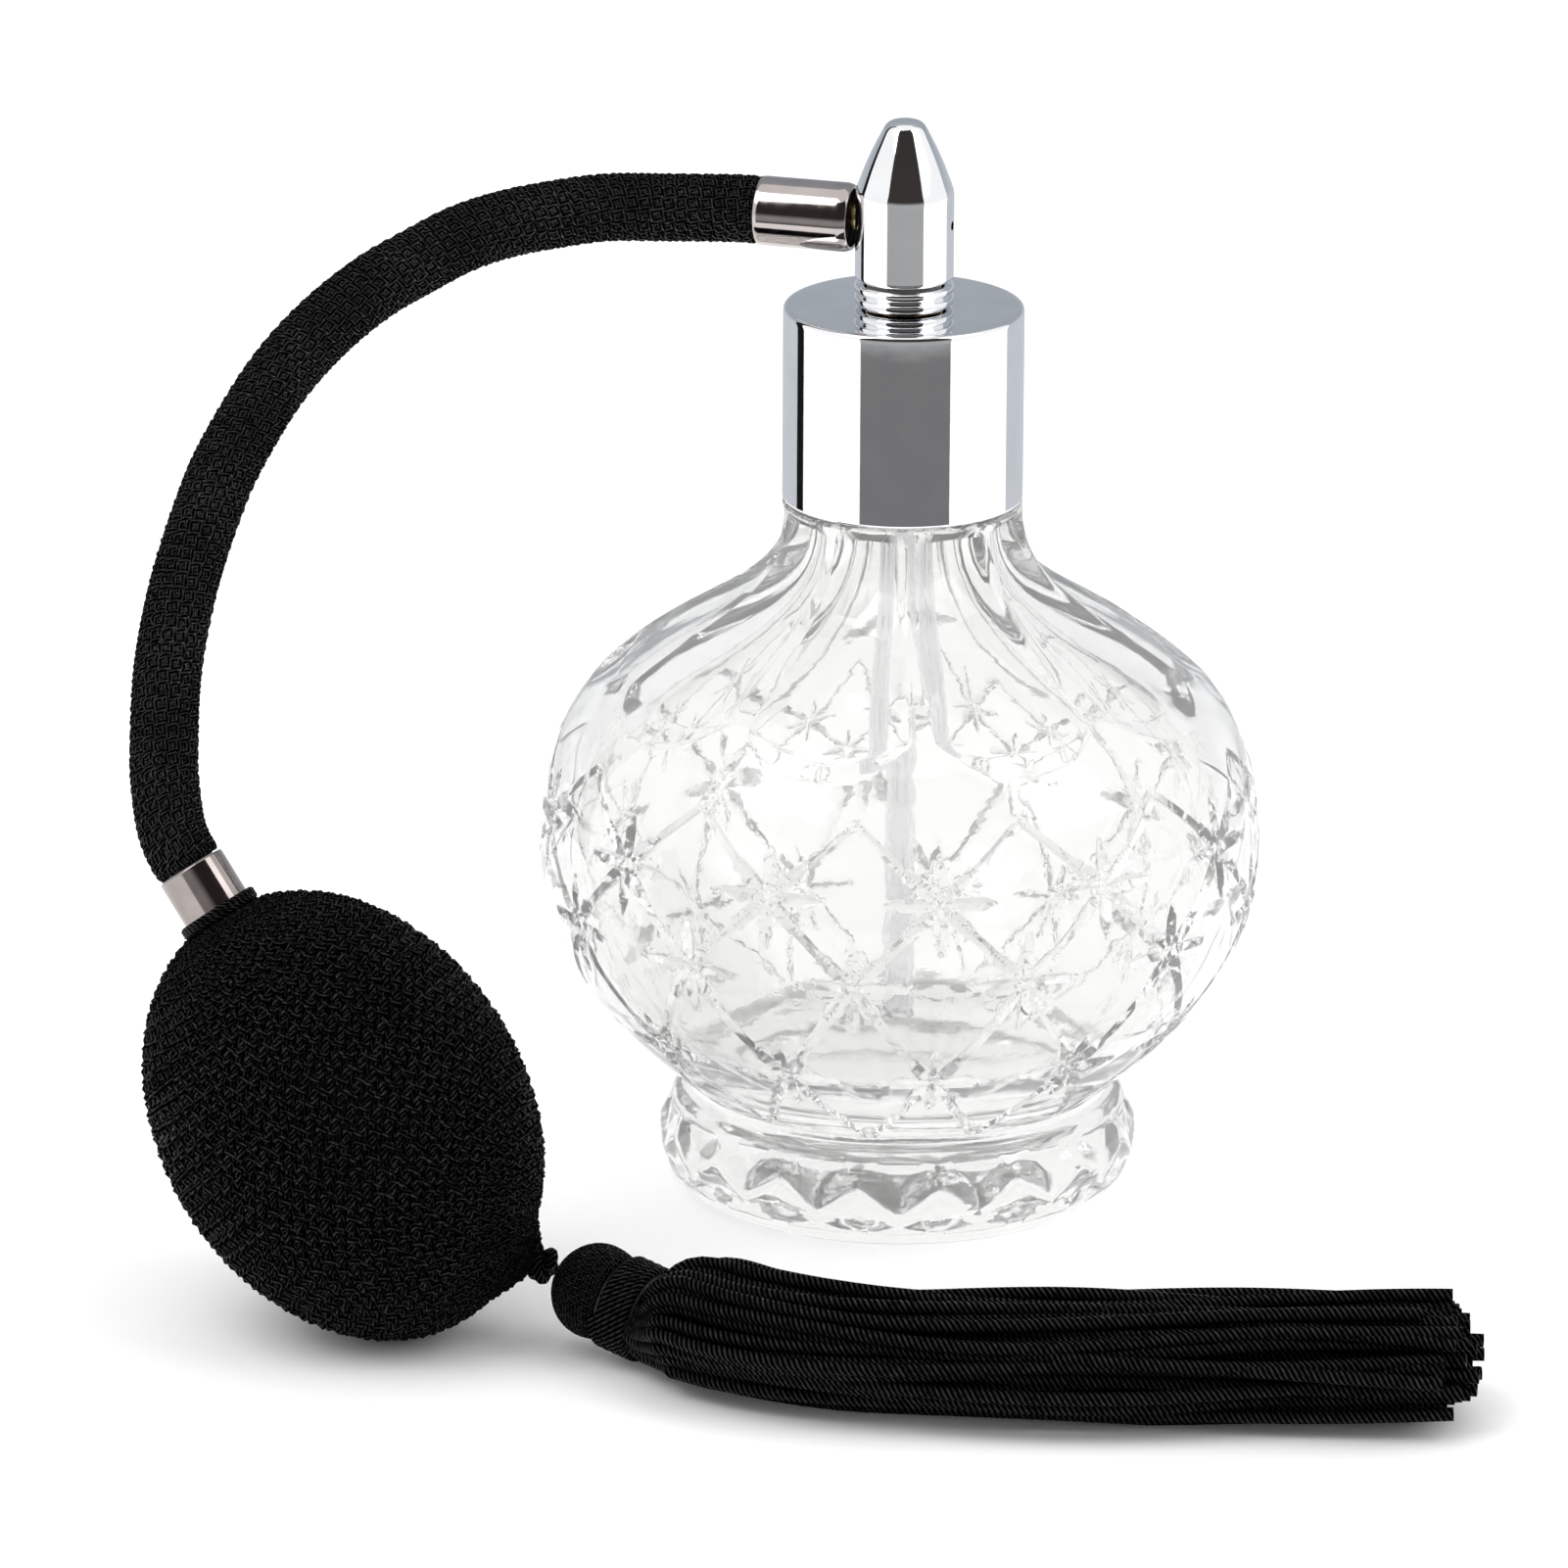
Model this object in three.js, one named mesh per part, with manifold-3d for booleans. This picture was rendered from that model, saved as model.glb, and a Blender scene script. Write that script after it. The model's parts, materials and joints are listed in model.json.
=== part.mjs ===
// Perfume atomiser: a pressed-glass bottle, a screwed collar that carries a swivelling spray head,
// a braided air hose, a netted squeeze bulb with two ball valves, and a tassel.
// Millimetres, +Z up. The origin is the centre of the foot, on the face the bottle stands on.
import * as THREE from 'three';
import { mergeVertices } from 'three/addons/utils/BufferGeometryUtils.js';
import Module from 'manifold-3d';

const wasm = await Module();
wasm.setup();

// ---- driving dimensions -------------------------------------------------------------------

const gap = 0.3; // between two pieces that touch or slide on each other
const roundSides = 24; // facets around a turned piece
const smallSides = 16; // facets around a small one
const glassSides = 36; // facets around the bottle

// bottle: radii with the heights they stand at
const baseRadius = 21.8;
const footRadius = 25.9;
const footHeight = 6;
const footTopRadius = 24.7;
const footTopHeight = 10;
const waistRadius = 22.8;
const waistHeight = 12.2;
const bodyRadius = 39;
const bodyHeight = 38;
const shoulderRadius = 29.5;
const shoulderHeight = 59.5;
const neckRootHeight = 77.2;
const neckRadius = 10;
const neckLength = 14.8;
const neckBore = 6.8;
const glassWall = 4.5;
const floorHeight = 16.5; // inside bottom of the cavity
const cavityFloorRadius = 14;

// collar and the pieces it clamps to the neck
const collarRadius = 12.8;
const collarRimFlare = 0.25;
const collarRimHeight = 1.2;
const collarWall = 0.5;
const threadRoom = 0.9; // between the neck and the threaded liner
const washerThickness = 1.4;
const flangeRadius = 9.3;
const flangeThickness = 1.6;
const linerPlate = 2.1;
const plugLength = 8;
const bossRadius = 4.2;
const stemRadius = 2.6;
const stemBore = 0.9;

// dip tube
const tubeRadius = 1.6;
const tubeBore = 0.9;
const tubeFloorRoom = 3; // from the glass floor up to the tube's foot
const tubeSocketDepth = 6.5;

// spray head
const headRadius = 5.3;
const headWall = 0.9;
const headYaw = THREE.MathUtils.degToRad(-16); // nozzle towards +X, turned a little towards -Y
const ribCount = 2;
const ribPitch = 1.25;
const ribDepth = 0.35;
const ribProud = 0.05;
const barrelHeight = 9.8; // straight part of the head above the ribs
const noseHeight = 7.5;
const noseTipRadius = 1.9;
const spigotDrop = 3.5; // from the foot of the nose down to the air passage
const nozzleRadius = 1.4;
const nozzleBore = 0.4;
const jetRadius = 1.2;
const jetBore = 0.5;

// hose and its two ferrules
const hoseRadius = 3.6;
const sleeveWall = 0.55;
const tubingRadius = 2.75;
const tubingBore = 1.9;
const hoseSides = 10;
const hoseSteps = 28;
const straightEnd = 1.8; // of the hose, just outside each ferrule
const ferruleRadius = 3.75;
const ferruleWall = 0.4;
const headFerruleLength = 10.3;
const headFerruleRoom = 0.3; // between the head's side and the ferrule's open end
const bulbFerruleLength = 5.2;
const spigotRadius = 1.55;
const spigotBore = 0.7;
const barbProud = 0.2;

// where the hose runs, between its ferrules: chosen by hand, head end first
const hoseRoute = [
  [-20.4, 5.6, 107.9],
  [-25.6, 6.1, 107.8],
  [-31.8, 5.5, 107.9],
  [-37.1, 4.3, 107.5],
  [-42.2, 2.7, 106.9],
  [-47.1, 0.9, 105.7],
  [-51.8, -1.1, 103.7],
  [-56.1, -3.2, 101.7],
  [-60.0, -5.5, 99.2],
  [-63.6, -8.0, 96.3],
  [-66.7, -10.6, 93.1],
  [-69.2, -13.2, 89.7],
  [-71.5, -16.0, 86.1],
  [-73.3, -18.6, 82.4],
  [-76.0, -23.9, 74.8],
  [-77.6, -29.0, 66.9],
  [-77.9, -33.9, 59.0],
  [-77.6, -36.0, 55.2],
  [-77.0, -37.6, 52.0],
];

// squeeze bulb: an egg that leans on the ground beside the bottle
const bulbPlace = [-58.7, -47.5]; // its middle, seen from above
const groundRoom = 0.2; // under its lowest point
const bulbRadius = 19.4;
const bulbHalfLength = 25.2;
const bulbHeading = THREE.MathUtils.degToRad(-27); // of its lower end, seen from above
const bulbPitch = THREE.MathUtils.degToRad(53.5); // of its lower end, below the horizontal
const netThickness = 0.9;
const bulbWall = 1.8;
const netMouth = 4.3;
const bulbMouth = 2.9;
const valveRadius = 2.5;
const valveFlange = 4.4;
const valveFlangeThickness = 1;
const valveLength = 6.2;
const ballRadius = 1.15;
const ballTravel = 0.8;
const ballRoom = 0.35;
const bindingRadius = 0.5;

// tassel: its knot hangs on the net, its skirt lies along the ground
const knotHeading = THREE.MathUtils.degToRad(-11); // from the bulb's middle to the knot
const knotPitch = THREE.MathUtils.degToRad(35.5);
const knotRoom = 0.55; // from the net to the knot
const knotRadius = 1.75;
const tasselHeading = THREE.MathUtils.degToRad(-33.5);
const tasselPitch = THREE.MathUtils.degToRad(10.4);
const tasselHeadRadius = 5.1;
const tasselHeadLength = 7.4;
const tasselHeadWall = 1;
const bandRadius = 5.3;
const bandLength = 4.6;
const bandWall = 1.1;
const skirtWidth = 19.5;
const skirtHeight = 12;
const skirtStart = 9.6; // its width where it leaves the band
const skirtRoom = 1.3; // from the tilted band to the upright start of the skirt
const skirtSwell = 0.14; // share of the skirt's run over which it opens out

// where the skirt runs after the band, seen from above and counted from the knot: chosen by hand
const skirtRoute = [
  [17.0, -11.3],
  [22.0, -15.0],
  [28.6, -18.2],
  [36.6, -20.4],
  [46.6, -21.4],
  [59.6, -21.4],
  [73.6, -21.1],
  [86.6, -21.4],
  [97.1, -21.7],
];

// ---- sizes that follow from them ----------------------------------------------------------

const neckTop = neckRootHeight + neckLength;
const neckRootRadius = collarRadius + 0.1;
const collarBottom = neckRootHeight + 0.4;
const washerBottom = neckTop + gap;
const flangeBottom = washerBottom + washerThickness + gap;
const flangeTop = flangeBottom + flangeThickness;
const plateBottom = flangeTop + gap;
const plateTop = plateBottom + linerPlate;
const collarTop = plateTop + gap + collarWall;
const ribsBottom = collarTop + gap;
const ribsHeight = ribCount * ribPitch;
const ribsTop = ribsBottom + ribsHeight;
const stemTop = ribsTop;
const barrelBottom = ribsTop + gap;
const noseFoot = barrelBottom + barrelHeight;
const headTop = noseFoot + noseHeight;
const passageHeight = noseFoot - spigotDrop;
const headBore = headRadius - headWall;
const coreRadius = headBore - gap;
const ferruleStart = headRadius + headFerruleRoom;
const ferruleEnd = ferruleStart + headFerruleLength;
const tubingStart = ferruleStart + 2;
const plugRadius = neckBore - gap;
const bladderRadius = bulbRadius - netThickness - gap;
const bladderHalfLength = bulbHalfLength - netThickness - gap;
const bulbFerruleStart = bulbHalfLength + gap;
const bulbFerruleEnd = bulbFerruleStart + bulbFerruleLength;
const bulbReachDown = Math.hypot(bulbHalfLength * Math.sin(bulbPitch), bulbRadius * Math.cos(bulbPitch));
const bulbCentre = new THREE.Vector3(...bulbPlace, bulbReachDown + groundRoom);
const bulbUp = directionOf(bulbHeading, bulbPitch).negate();
const knotOutward = directionOf(knotHeading, knotPitch);
const knotReach = netReach(knotOutward) + knotRoom + knotRadius;
const knotCentre = bulbCentre.clone().addScaledVector(knotOutward, knotReach);

// ---- shape helpers --------------------------------------------------------------------------

// a level or falling direction, from its heading about +Z and its angle below the horizontal
function directionOf(heading, pitchDown) {
  return new THREE.Vector3(
    Math.cos(pitchDown) * Math.cos(heading),
    Math.cos(pitchDown) * Math.sin(heading),
    -Math.sin(pitchDown),
  );
}

// how far the net's surface is from the bulb's middle in a direction
function netReach(direction) {
  const along = direction.dot(bulbUp);
  return 1 / Math.hypot(along / bulbHalfLength, Math.sqrt(1 - along ** 2) / bulbRadius);
}

// a turned solid: the profile is a list of [radius, height] that closes on itself or on the axis
function turned(profile, sides = roundSides) {
  const points = profile.map(([radius, height]) => new THREE.Vector2(radius, height));
  const onAxis = points[0].x === 0 && points[points.length - 1].x === 0;
  if (!onAxis) points.push(points[0].clone());
  return new THREE.LatheGeometry(points, sides).rotateX(Math.PI / 2);
}

// points of a cubic bow between two [radius, height] points, without its first point
function bow(start, pullStart, pullEnd, end, count = 8) {
  const corners = [start, pullStart, pullEnd, end].map((p) => new THREE.Vector2(...p));
  const curve = new THREE.CubicBezierCurve(...corners);
  return curve.getPoints(count).slice(1).map((p) => [p.x, p.y]);
}

// a stretch of an egg's outline between two radii measured near its poles, top first
function eggOutline(radius, halfLength, topRadius, bottomRadius, count = 16) {
  const from = Math.acos(topRadius / radius);
  const to = -Math.acos(bottomRadius / radius);
  return Array.from({ length: count + 1 }, (_, i) => {
    const angle = from + ((to - from) * i) / count;
    return [radius * Math.cos(angle), halfLength * Math.sin(angle)];
  });
}

// a straight tube between two heights
function tube(outer, inner, bottom, top, sides = roundSides) {
  return turned([[inner, bottom], [outer, bottom], [outer, top], [inner, top]], sides);
}

function toSolid(geometry) {
  const bare = geometry.clone();
  bare.deleteAttribute('normal');
  bare.deleteAttribute('uv');
  const merged = mergeVertices(bare, 1e-4);
  return new wasm.Manifold(
    new wasm.Mesh({
      numProp: 3,
      vertProperties: new Float32Array(merged.attributes.position.array),
      triVerts: new Uint32Array(merged.index.array),
    }),
  );
}

function fromSolid(solid) {
  const mesh = solid.getMesh();
  const geometry = new THREE.BufferGeometry();
  geometry.setAttribute('position', new THREE.BufferAttribute(mesh.vertProperties, 3));
  geometry.setIndex(new THREE.BufferAttribute(mesh.triVerts, 1));
  geometry.computeVertexNormals();
  return geometry;
}

function cut(geometry, ...tools) {
  return fromSolid(tools.reduce((solid, tool) => solid.subtract(toSolid(tool)), toSolid(geometry)));
}

// a round bar lying along X at the height of the air passage, used as a cutter
function crossBar(radius, fromX, toX, sides = smallSides) {
  const bar = new THREE.CylinderGeometry(radius, radius, Math.abs(toX - fromX), sides).rotateZ(Math.PI / 2);
  return bar.translate((fromX + toX) / 2, 0, passageHeight);
}

// turns a piece made upright so that its height runs along -X, starting at the head's axis
function towardsHose(geometry) {
  return geometry.rotateY(-Math.PI / 2).translate(0, 0, passageHeight);
}

function towardsNozzle(geometry) {
  return geometry.rotateY(Math.PI / 2).translate(0, 0, passageHeight);
}

// a hollow tube along a curve
function tubeAlong(curve, outer, inner) {
  const section = new THREE.Shape().absarc(0, 0, outer, 0, 2 * Math.PI);
  section.holes.push(new THREE.Path().absarc(0, 0, inner, 0, 2 * Math.PI));
  return new THREE.ExtrudeGeometry(section, {
    steps: hoseSteps,
    curveSegments: hoseSides / 2, // an arc gets two sides for each
    extrudePath: curve,
    bevelEnabled: false,
  });
}

// a soft bundle that follows a level curve, with a width and a height at each share of its run
function bundle(curve, widthAt, heightAt, sides = 14, steps = 18) {
  const geometry = new THREE.CylinderGeometry(1, 1, 1, sides, steps);
  const position = geometry.attributes.position;
  const up = new THREE.Vector3(0, 0, 1);
  for (let i = 0; i < position.count; i += 1) {
    const share = THREE.MathUtils.clamp(position.getY(i) + 0.5, 0, 1);
    const along = curve.getTangentAt(share);
    const across = new THREE.Vector3().crossVectors(along, up).normalize();
    const point = curve.getPointAt(share);
    point.addScaledVector(across, (position.getX(i) * widthAt(share)) / 2);
    point.addScaledVector(up, (position.getZ(i) * heightAt(share)) / 2);
    position.setXYZ(i, point.x, point.y, point.z);
  }
  geometry.computeVertexNormals();
  return geometry;
}

// ---- finishes and nodes ---------------------------------------------------------------------

const finishes = {
  glass: { color: 0xe9eef0, roughness: 0.03, metalness: 0, transparent: true, opacity: 0.35 },
  chrome: { color: 0xc9ccd0, roughness: 0.08, metalness: 1 },
  clearPlastic: { color: 0xdfe3e4, roughness: 0.25, metalness: 0 },
  whitePlastic: { color: 0xececea, roughness: 0.4, metalness: 0 },
  blackRubber: { color: 0x1a1a1b, roughness: 0.7, metalness: 0 },
  blackThread: { color: 0x121214, roughness: 0.85, metalness: 0 },
  brass: { color: 0xb89b5c, roughness: 0.3, metalness: 1 },
  steelBall: { color: 0xa9adb2, roughness: 0.15, metalness: 1 },
};

function node(name, geometry, finish) {
  const mesh = new THREE.Mesh(geometry, new THREE.MeshStandardMaterial(finishes[finish]));
  mesh.name = name;
  return mesh;
}

// a group whose own +Z points along a direction
function groupAlong(place, direction) {
  const group = new THREE.Group();
  group.position.copy(place);
  group.quaternion.setFromUnitVectors(new THREE.Vector3(0, 0, 1), direction);
  return group;
}

// ---- bottle -----------------------------------------------------------------------------------

function glassBottle() {
  const innerBody = bodyRadius - glassWall;
  const innerShoulder = shoulderRadius - 0.8 * glassWall;
  const innerShoulderHeight = shoulderHeight - 0.5 * glassWall;
  const outside = [
    [0, 0],
    [baseRadius, 0],
    ...bow(
      [baseRadius, 0],
      [baseRadius + 2.4, 0.4],
      [footRadius, footHeight - 3],
      [footRadius, footHeight],
      3,
    ),
    [footTopRadius, footTopHeight],
    [waistRadius, waistHeight],
    ...bow(
      [waistRadius, waistHeight],
      [waistRadius + 8.2, waistHeight + 7],
      [bodyRadius, bodyHeight - 11],
      [bodyRadius, bodyHeight],
      6,
    ),
    ...bow(
      [bodyRadius, bodyHeight],
      [bodyRadius, bodyHeight + 9],
      [shoulderRadius + 7.5, shoulderHeight - 5.5],
      [shoulderRadius, shoulderHeight],
      5,
    ),
    ...bow(
      [shoulderRadius, shoulderHeight],
      [shoulderRadius - 8.5, shoulderHeight + 6.5],
      [neckRootRadius + 0.1, neckRootHeight - 10],
      [neckRootRadius, neckRootHeight],
      6,
    ),
    [neckRadius, neckRootHeight],
    [neckRadius, neckTop],
  ];
  const inside = [
    [neckBore, neckTop],
    [neckBore, neckRootHeight - 3],
    ...bow(
      [neckBore, neckRootHeight - 3],
      [neckBore, neckRootHeight - 13],
      [innerShoulder - 7, innerShoulderHeight + 5],
      [innerShoulder, innerShoulderHeight],
      5,
    ),
    ...bow(
      [innerShoulder, innerShoulderHeight],
      [innerShoulder + 7, innerShoulderHeight - 5.5],
      [innerBody, bodyHeight + 8],
      [innerBody, bodyHeight],
      4,
    ),
    ...bow(
      [innerBody, bodyHeight],
      [innerBody, bodyHeight - 12],
      [cavityFloorRadius + 12, floorHeight],
      [cavityFloorRadius, floorHeight],
      5,
    ),
    [0, floorHeight],
  ];
  return turned([...outside, ...inside], glassSides);
}

// ---- collar and the stack under it --------------------------------------------------------------

function collarShell() {
  const rim = collarRadius + collarRimFlare;
  const inner = collarRadius - collarWall;
  return turned([
    [inner, collarBottom],
    [rim, collarBottom],
    [rim, collarBottom + collarRimHeight],
    [collarRadius, collarBottom + collarRimHeight + 0.3],
    [collarRadius, collarTop - 0.3],
    [collarRadius - 0.3, collarTop],
    [bossRadius + gap, collarTop],
    [bossRadius + gap, collarTop - collarWall],
    [inner, collarTop - collarWall],
  ]);
}

function collarLiner() {
  const outer = collarRadius - collarWall - gap;
  const inner = neckRadius + threadRoom;
  return turned([
    [inner, collarBottom + 0.6],
    [outer, collarBottom + 0.6],
    [outer, plateTop],
    [bossRadius + gap, plateTop],
    [bossRadius + gap, plateBottom],
    [inner, plateBottom],
  ]);
}

function neckPlug() {
  const socket = tubeRadius + gap;
  const socketTop = flangeBottom - plugLength + tubeSocketDepth;
  return turned([
    [socket, flangeBottom - plugLength],
    [plugRadius - 0.6, flangeBottom - plugLength],
    [plugRadius, flangeBottom - plugLength + 1],
    [plugRadius, flangeBottom],
    [flangeRadius, flangeBottom],
    [flangeRadius, flangeTop],
    [stemBore, flangeTop],
    [stemBore, socketTop],
    [socket, socketTop],
  ]);
}

function swivelStem() {
  const bossTop = collarTop - 0.1;
  return turned([
    [stemBore, flangeTop + gap],
    [bossRadius, flangeTop + gap],
    [bossRadius, bossTop],
    [stemRadius, bossTop],
    [stemRadius, stemTop],
    [stemBore, stemTop],
  ]);
}

function dipTube() {
  const top = flangeBottom - plugLength + tubeSocketDepth - gap;
  return tube(tubeRadius, tubeBore, floorHeight + tubeFloorRoom, top, smallSides);
}

// ---- spray head, made with its nozzle along +X -----------------------------------------------

function ribbedRing() {
  const bore = stemRadius + gap;
  const crest = headRadius + ribProud;
  const root = crest - ribDepth;
  const outline = [];
  for (let i = 0; i < ribCount; i += 1) {
    const bottom = ribsBottom + i * ribPitch;
    outline.push([root, bottom], [crest, bottom + 0.3 * ribPitch], [crest, bottom + 0.7 * ribPitch]);
  }
  return turned([[bore, ribsBottom], ...outline, [root, ribsTop], [bore, ribsTop]]);
}

function headShell() {
  const shell = turned([
    [headBore, barrelBottom],
    [headRadius, barrelBottom],
    [headRadius, noseFoot - 0.4],
    ...bow(
      [headRadius, noseFoot - 0.4],
      [headRadius - 0.1, noseFoot + 0.6],
      [noseTipRadius + 1.2, headTop - 2],
      [noseTipRadius, headTop - 0.9],
      5,
    ),
    ...bow(
      [noseTipRadius, headTop - 0.9],
      [noseTipRadius - 0.5, headTop - 0.2],
      [0.7, headTop],
      [0, headTop],
      3,
    ),
    [0, noseFoot + 1],
    [headBore, noseFoot + 1],
  ]);
  const hoseHole = crossBar(spigotRadius + barbProud + 0.5, -headRadius - 1, 0);
  const nozzleHole = crossBar(nozzleRadius + gap, 0, headRadius + 1);
  return cut(shell, hoseHole, nozzleHole);
}

function headCore() {
  const bottom = barrelBottom + gap;
  const top = noseFoot + 1 - gap;
  const core = turned([[stemBore, bottom], [coreRadius, bottom], [coreRadius, top], [stemBore, top]]);
  return cut(core, crossBar(nozzleRadius + gap, -headRadius, headRadius));
}

function airJet() {
  return towardsHose(tube(jetRadius, jetBore, -0.6, coreRadius - 0.6, smallSides));
}

function nozzleTip() {
  return towardsNozzle(tube(nozzleRadius, nozzleBore, 1.2, headRadius - 0.2, smallSides));
}

// a barbed pipe for the hose end, from one distance to another
function barbedPipe(from, to) {
  const barb = spigotRadius + barbProud;
  return turned(
    [
      [spigotBore, from],
      [spigotRadius, from],
      [spigotRadius, to - 4.4],
      [barb, to - 4.1],
      [spigotRadius, to - 2.8],
      [spigotRadius, to - 1.9],
      [barb, to - 1.6],
      [spigotRadius - 0.2, to],
      [spigotBore, to],
    ],
    smallSides,
  );
}

function ferrule(from, to) {
  const inner = ferruleRadius - ferruleWall;
  return turned(
    [
      [inner, from],
      [ferruleRadius - 0.25, from],
      [ferruleRadius, from + 0.3],
      [ferruleRadius, to - 0.3],
      [ferruleRadius - 0.25, to],
      [inner, to],
    ],
    roundSides,
  );
}

// ---- squeeze bulb, made upright with the hose at its top ----------------------------------------

function netCover() {
  const outside = eggOutline(bulbRadius, bulbHalfLength, netMouth, 1.2, 14);
  const inside = eggOutline(bulbRadius - netThickness, bulbHalfLength - netThickness, netMouth, 1.2, 14);
  return turned([...outside.reverse(), ...inside]);
}

function rubberBulb() {
  const inner = bladderRadius - bulbWall;
  const outside = eggOutline(bladderRadius, bladderHalfLength, bulbMouth, bulbMouth, 11);
  const inside = eggOutline(inner, bladderHalfLength - bulbWall, bulbMouth, bulbMouth, 9);
  return turned([...outside.reverse(), ...inside]);
}

// a valve housing whose flange sits inside the bulb; the ball's seat is at the chamber's lower end
function valveHousing(chamberBottom, bottom, top, flangeBottomEdge) {
  const chamber = ballRadius + ballRoom;
  const chamberTop = chamberBottom + 2 * ballRadius + ballTravel + ballRoom;
  return turned(
    [
      [spigotBore, bottom],
      [valveRadius, bottom],
      [valveRadius, flangeBottomEdge],
      [valveFlange, flangeBottomEdge],
      [valveFlange, flangeBottomEdge + valveFlangeThickness],
      [valveRadius, flangeBottomEdge + valveFlangeThickness],
      [valveRadius, top],
      [spigotBore, top],
      [spigotBore, chamberTop],
      [chamber, chamberTop],
      [chamber, chamberBottom],
      [spigotBore, chamberBottom],
    ],
    smallSides,
  );
}

function ballAt(chamberBottom) {
  return new THREE.SphereGeometry(ballRadius, 12, 8).translate(0, 0, chamberBottom + ballRadius + 0.1);
}

function bindingRing() {
  const centre = ferruleRadius + gap + bindingRadius;
  const height = bulbFerruleStart + bindingRadius;
  const ring = Array.from({ length: 8 }, (_, i) => {
    const angle = (2 * Math.PI * i) / 8;
    return [centre + bindingRadius * Math.cos(angle), height + bindingRadius * Math.sin(angle)];
  });
  return turned(ring);
}

// ---- tassel, its head made upright with +Z running away from the knot ---------------------------

const tasselHeadStart = knotRadius + gap;
const tasselHeadEnd = tasselHeadStart + tasselHeadLength;
const bandStart = tasselHeadEnd + gap;
const bandEnd = bandStart + bandLength;

function tasselHead() {
  const bottom = tasselHeadEnd;
  const crown = tasselHeadRadius - tasselHeadWall;
  return turned(
    [
      [1, tasselHeadStart],
      ...bow(
        [1, tasselHeadStart],
        [3.4, tasselHeadStart],
        [tasselHeadRadius, bottom - 5.6],
        [tasselHeadRadius, bottom - 3],
        6,
      ),
      [tasselHeadRadius - 0.4, bottom],
      [crown - 0.4, bottom],
      ...bow(
        [crown - 0.4, bottom],
        [crown, bottom - 4.6],
        [3, tasselHeadStart + tasselHeadWall],
        [1, tasselHeadStart + tasselHeadWall],
        6,
      ),
    ],
    24,
  );
}

function tasselCore() {
  const radius = tasselHeadRadius - tasselHeadWall - 0.9;
  const centre = (tasselHeadStart + tasselHeadEnd) / 2 + 0.7;
  return new THREE.SphereGeometry(radius, 14, 8).scale(1, 1, 0.85).translate(0, 0, centre);
}

function skirt(start) {
  const level = skirtHeight / 2 + groundRoom;
  const route = skirtRoute.map(([x, y]) => new THREE.Vector3(knotCentre.x + x, knotCentre.y + y, level));
  const curve = new THREE.CatmullRomCurve3([start, ...route]);
  const opening = (share) => THREE.MathUtils.smoothstep(share, -0.02, skirtSwell);
  const width = (share) => skirtStart + (skirtWidth - skirtStart) * opening(share);
  const height = (share) => skirtStart + (skirtHeight - skirtStart) * opening(share);
  return bundle(curve, width, height);
}

// ---- assembly -----------------------------------------------------------------------------------

const part = new THREE.Group();

part.add(node('glass_bottle', glassBottle(), 'glass'));
const washer = tube(flangeRadius, plugRadius + gap, washerBottom, washerBottom + washerThickness);
part.add(node('neck_washer', washer, 'blackRubber'));
part.add(node('neck_plug', neckPlug(), 'whitePlastic'));
part.add(node('swivel_stem', swivelStem(), 'brass'));
part.add(node('dip_tube', dipTube(), 'clearPlastic'));
part.add(node('collar_shell', collarShell(), 'chrome'));
part.add(node('collar_liner', collarLiner(), 'whitePlastic'));

const head = new THREE.Group();
head.rotation.z = headYaw;
head.add(node('head_ribbed_ring', ribbedRing(), 'chrome'));
head.add(node('head_shell', headShell(), 'chrome'));
head.add(node('head_core', headCore(), 'whitePlastic'));
head.add(node('air_jet', airJet(), 'brass'));
head.add(node('nozzle_tip', nozzleTip(), 'brass'));
head.add(node('hose_spigot', towardsHose(barbedPipe(coreRadius + gap, ferruleEnd - 1.5)), 'brass'));
head.add(node('head_ferrule', towardsHose(ferrule(ferruleStart, ferruleEnd)), 'chrome'));
part.add(head);

const bulb = groupAlong(bulbCentre, bulbUp);
const flangeInBulb = bladderHalfLength - bulbWall - 2.2;
const outletSeat = flangeInBulb - 3.2;
const intakeSeat = -flangeInBulb - 1.2;
const housingTop = bulbFerruleStart - gap;
const outletTop = flangeInBulb - valveFlangeThickness;
const outletHousing = valveHousing(outletSeat, outletSeat - 1, housingTop, outletTop);
const intakeTop = intakeSeat + valveLength - 1;
const intakeHousing = valveHousing(intakeSeat, gap - bladderHalfLength, intakeTop, -flangeInBulb);
bulb.add(node('bulb_net', netCover(), 'blackThread'));
bulb.add(node('rubber_bulb', rubberBulb(), 'blackRubber'));
bulb.add(node('outlet_valve', outletHousing, 'brass'));
bulb.add(node('outlet_ball', ballAt(outletSeat), 'steelBall'));
bulb.add(node('intake_valve', intakeHousing, 'brass'));
bulb.add(node('intake_ball', ballAt(intakeSeat), 'steelBall'));
bulb.add(node('bulb_spigot', barbedPipe(housingTop + gap, bulbFerruleEnd - 0.6), 'brass'));
bulb.add(node('bulb_ferrule', ferrule(bulbFerruleStart, bulbFerruleEnd), 'chrome'));
bulb.add(node('net_binding', bindingRing(), 'blackThread'));
part.add(bulb);

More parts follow.
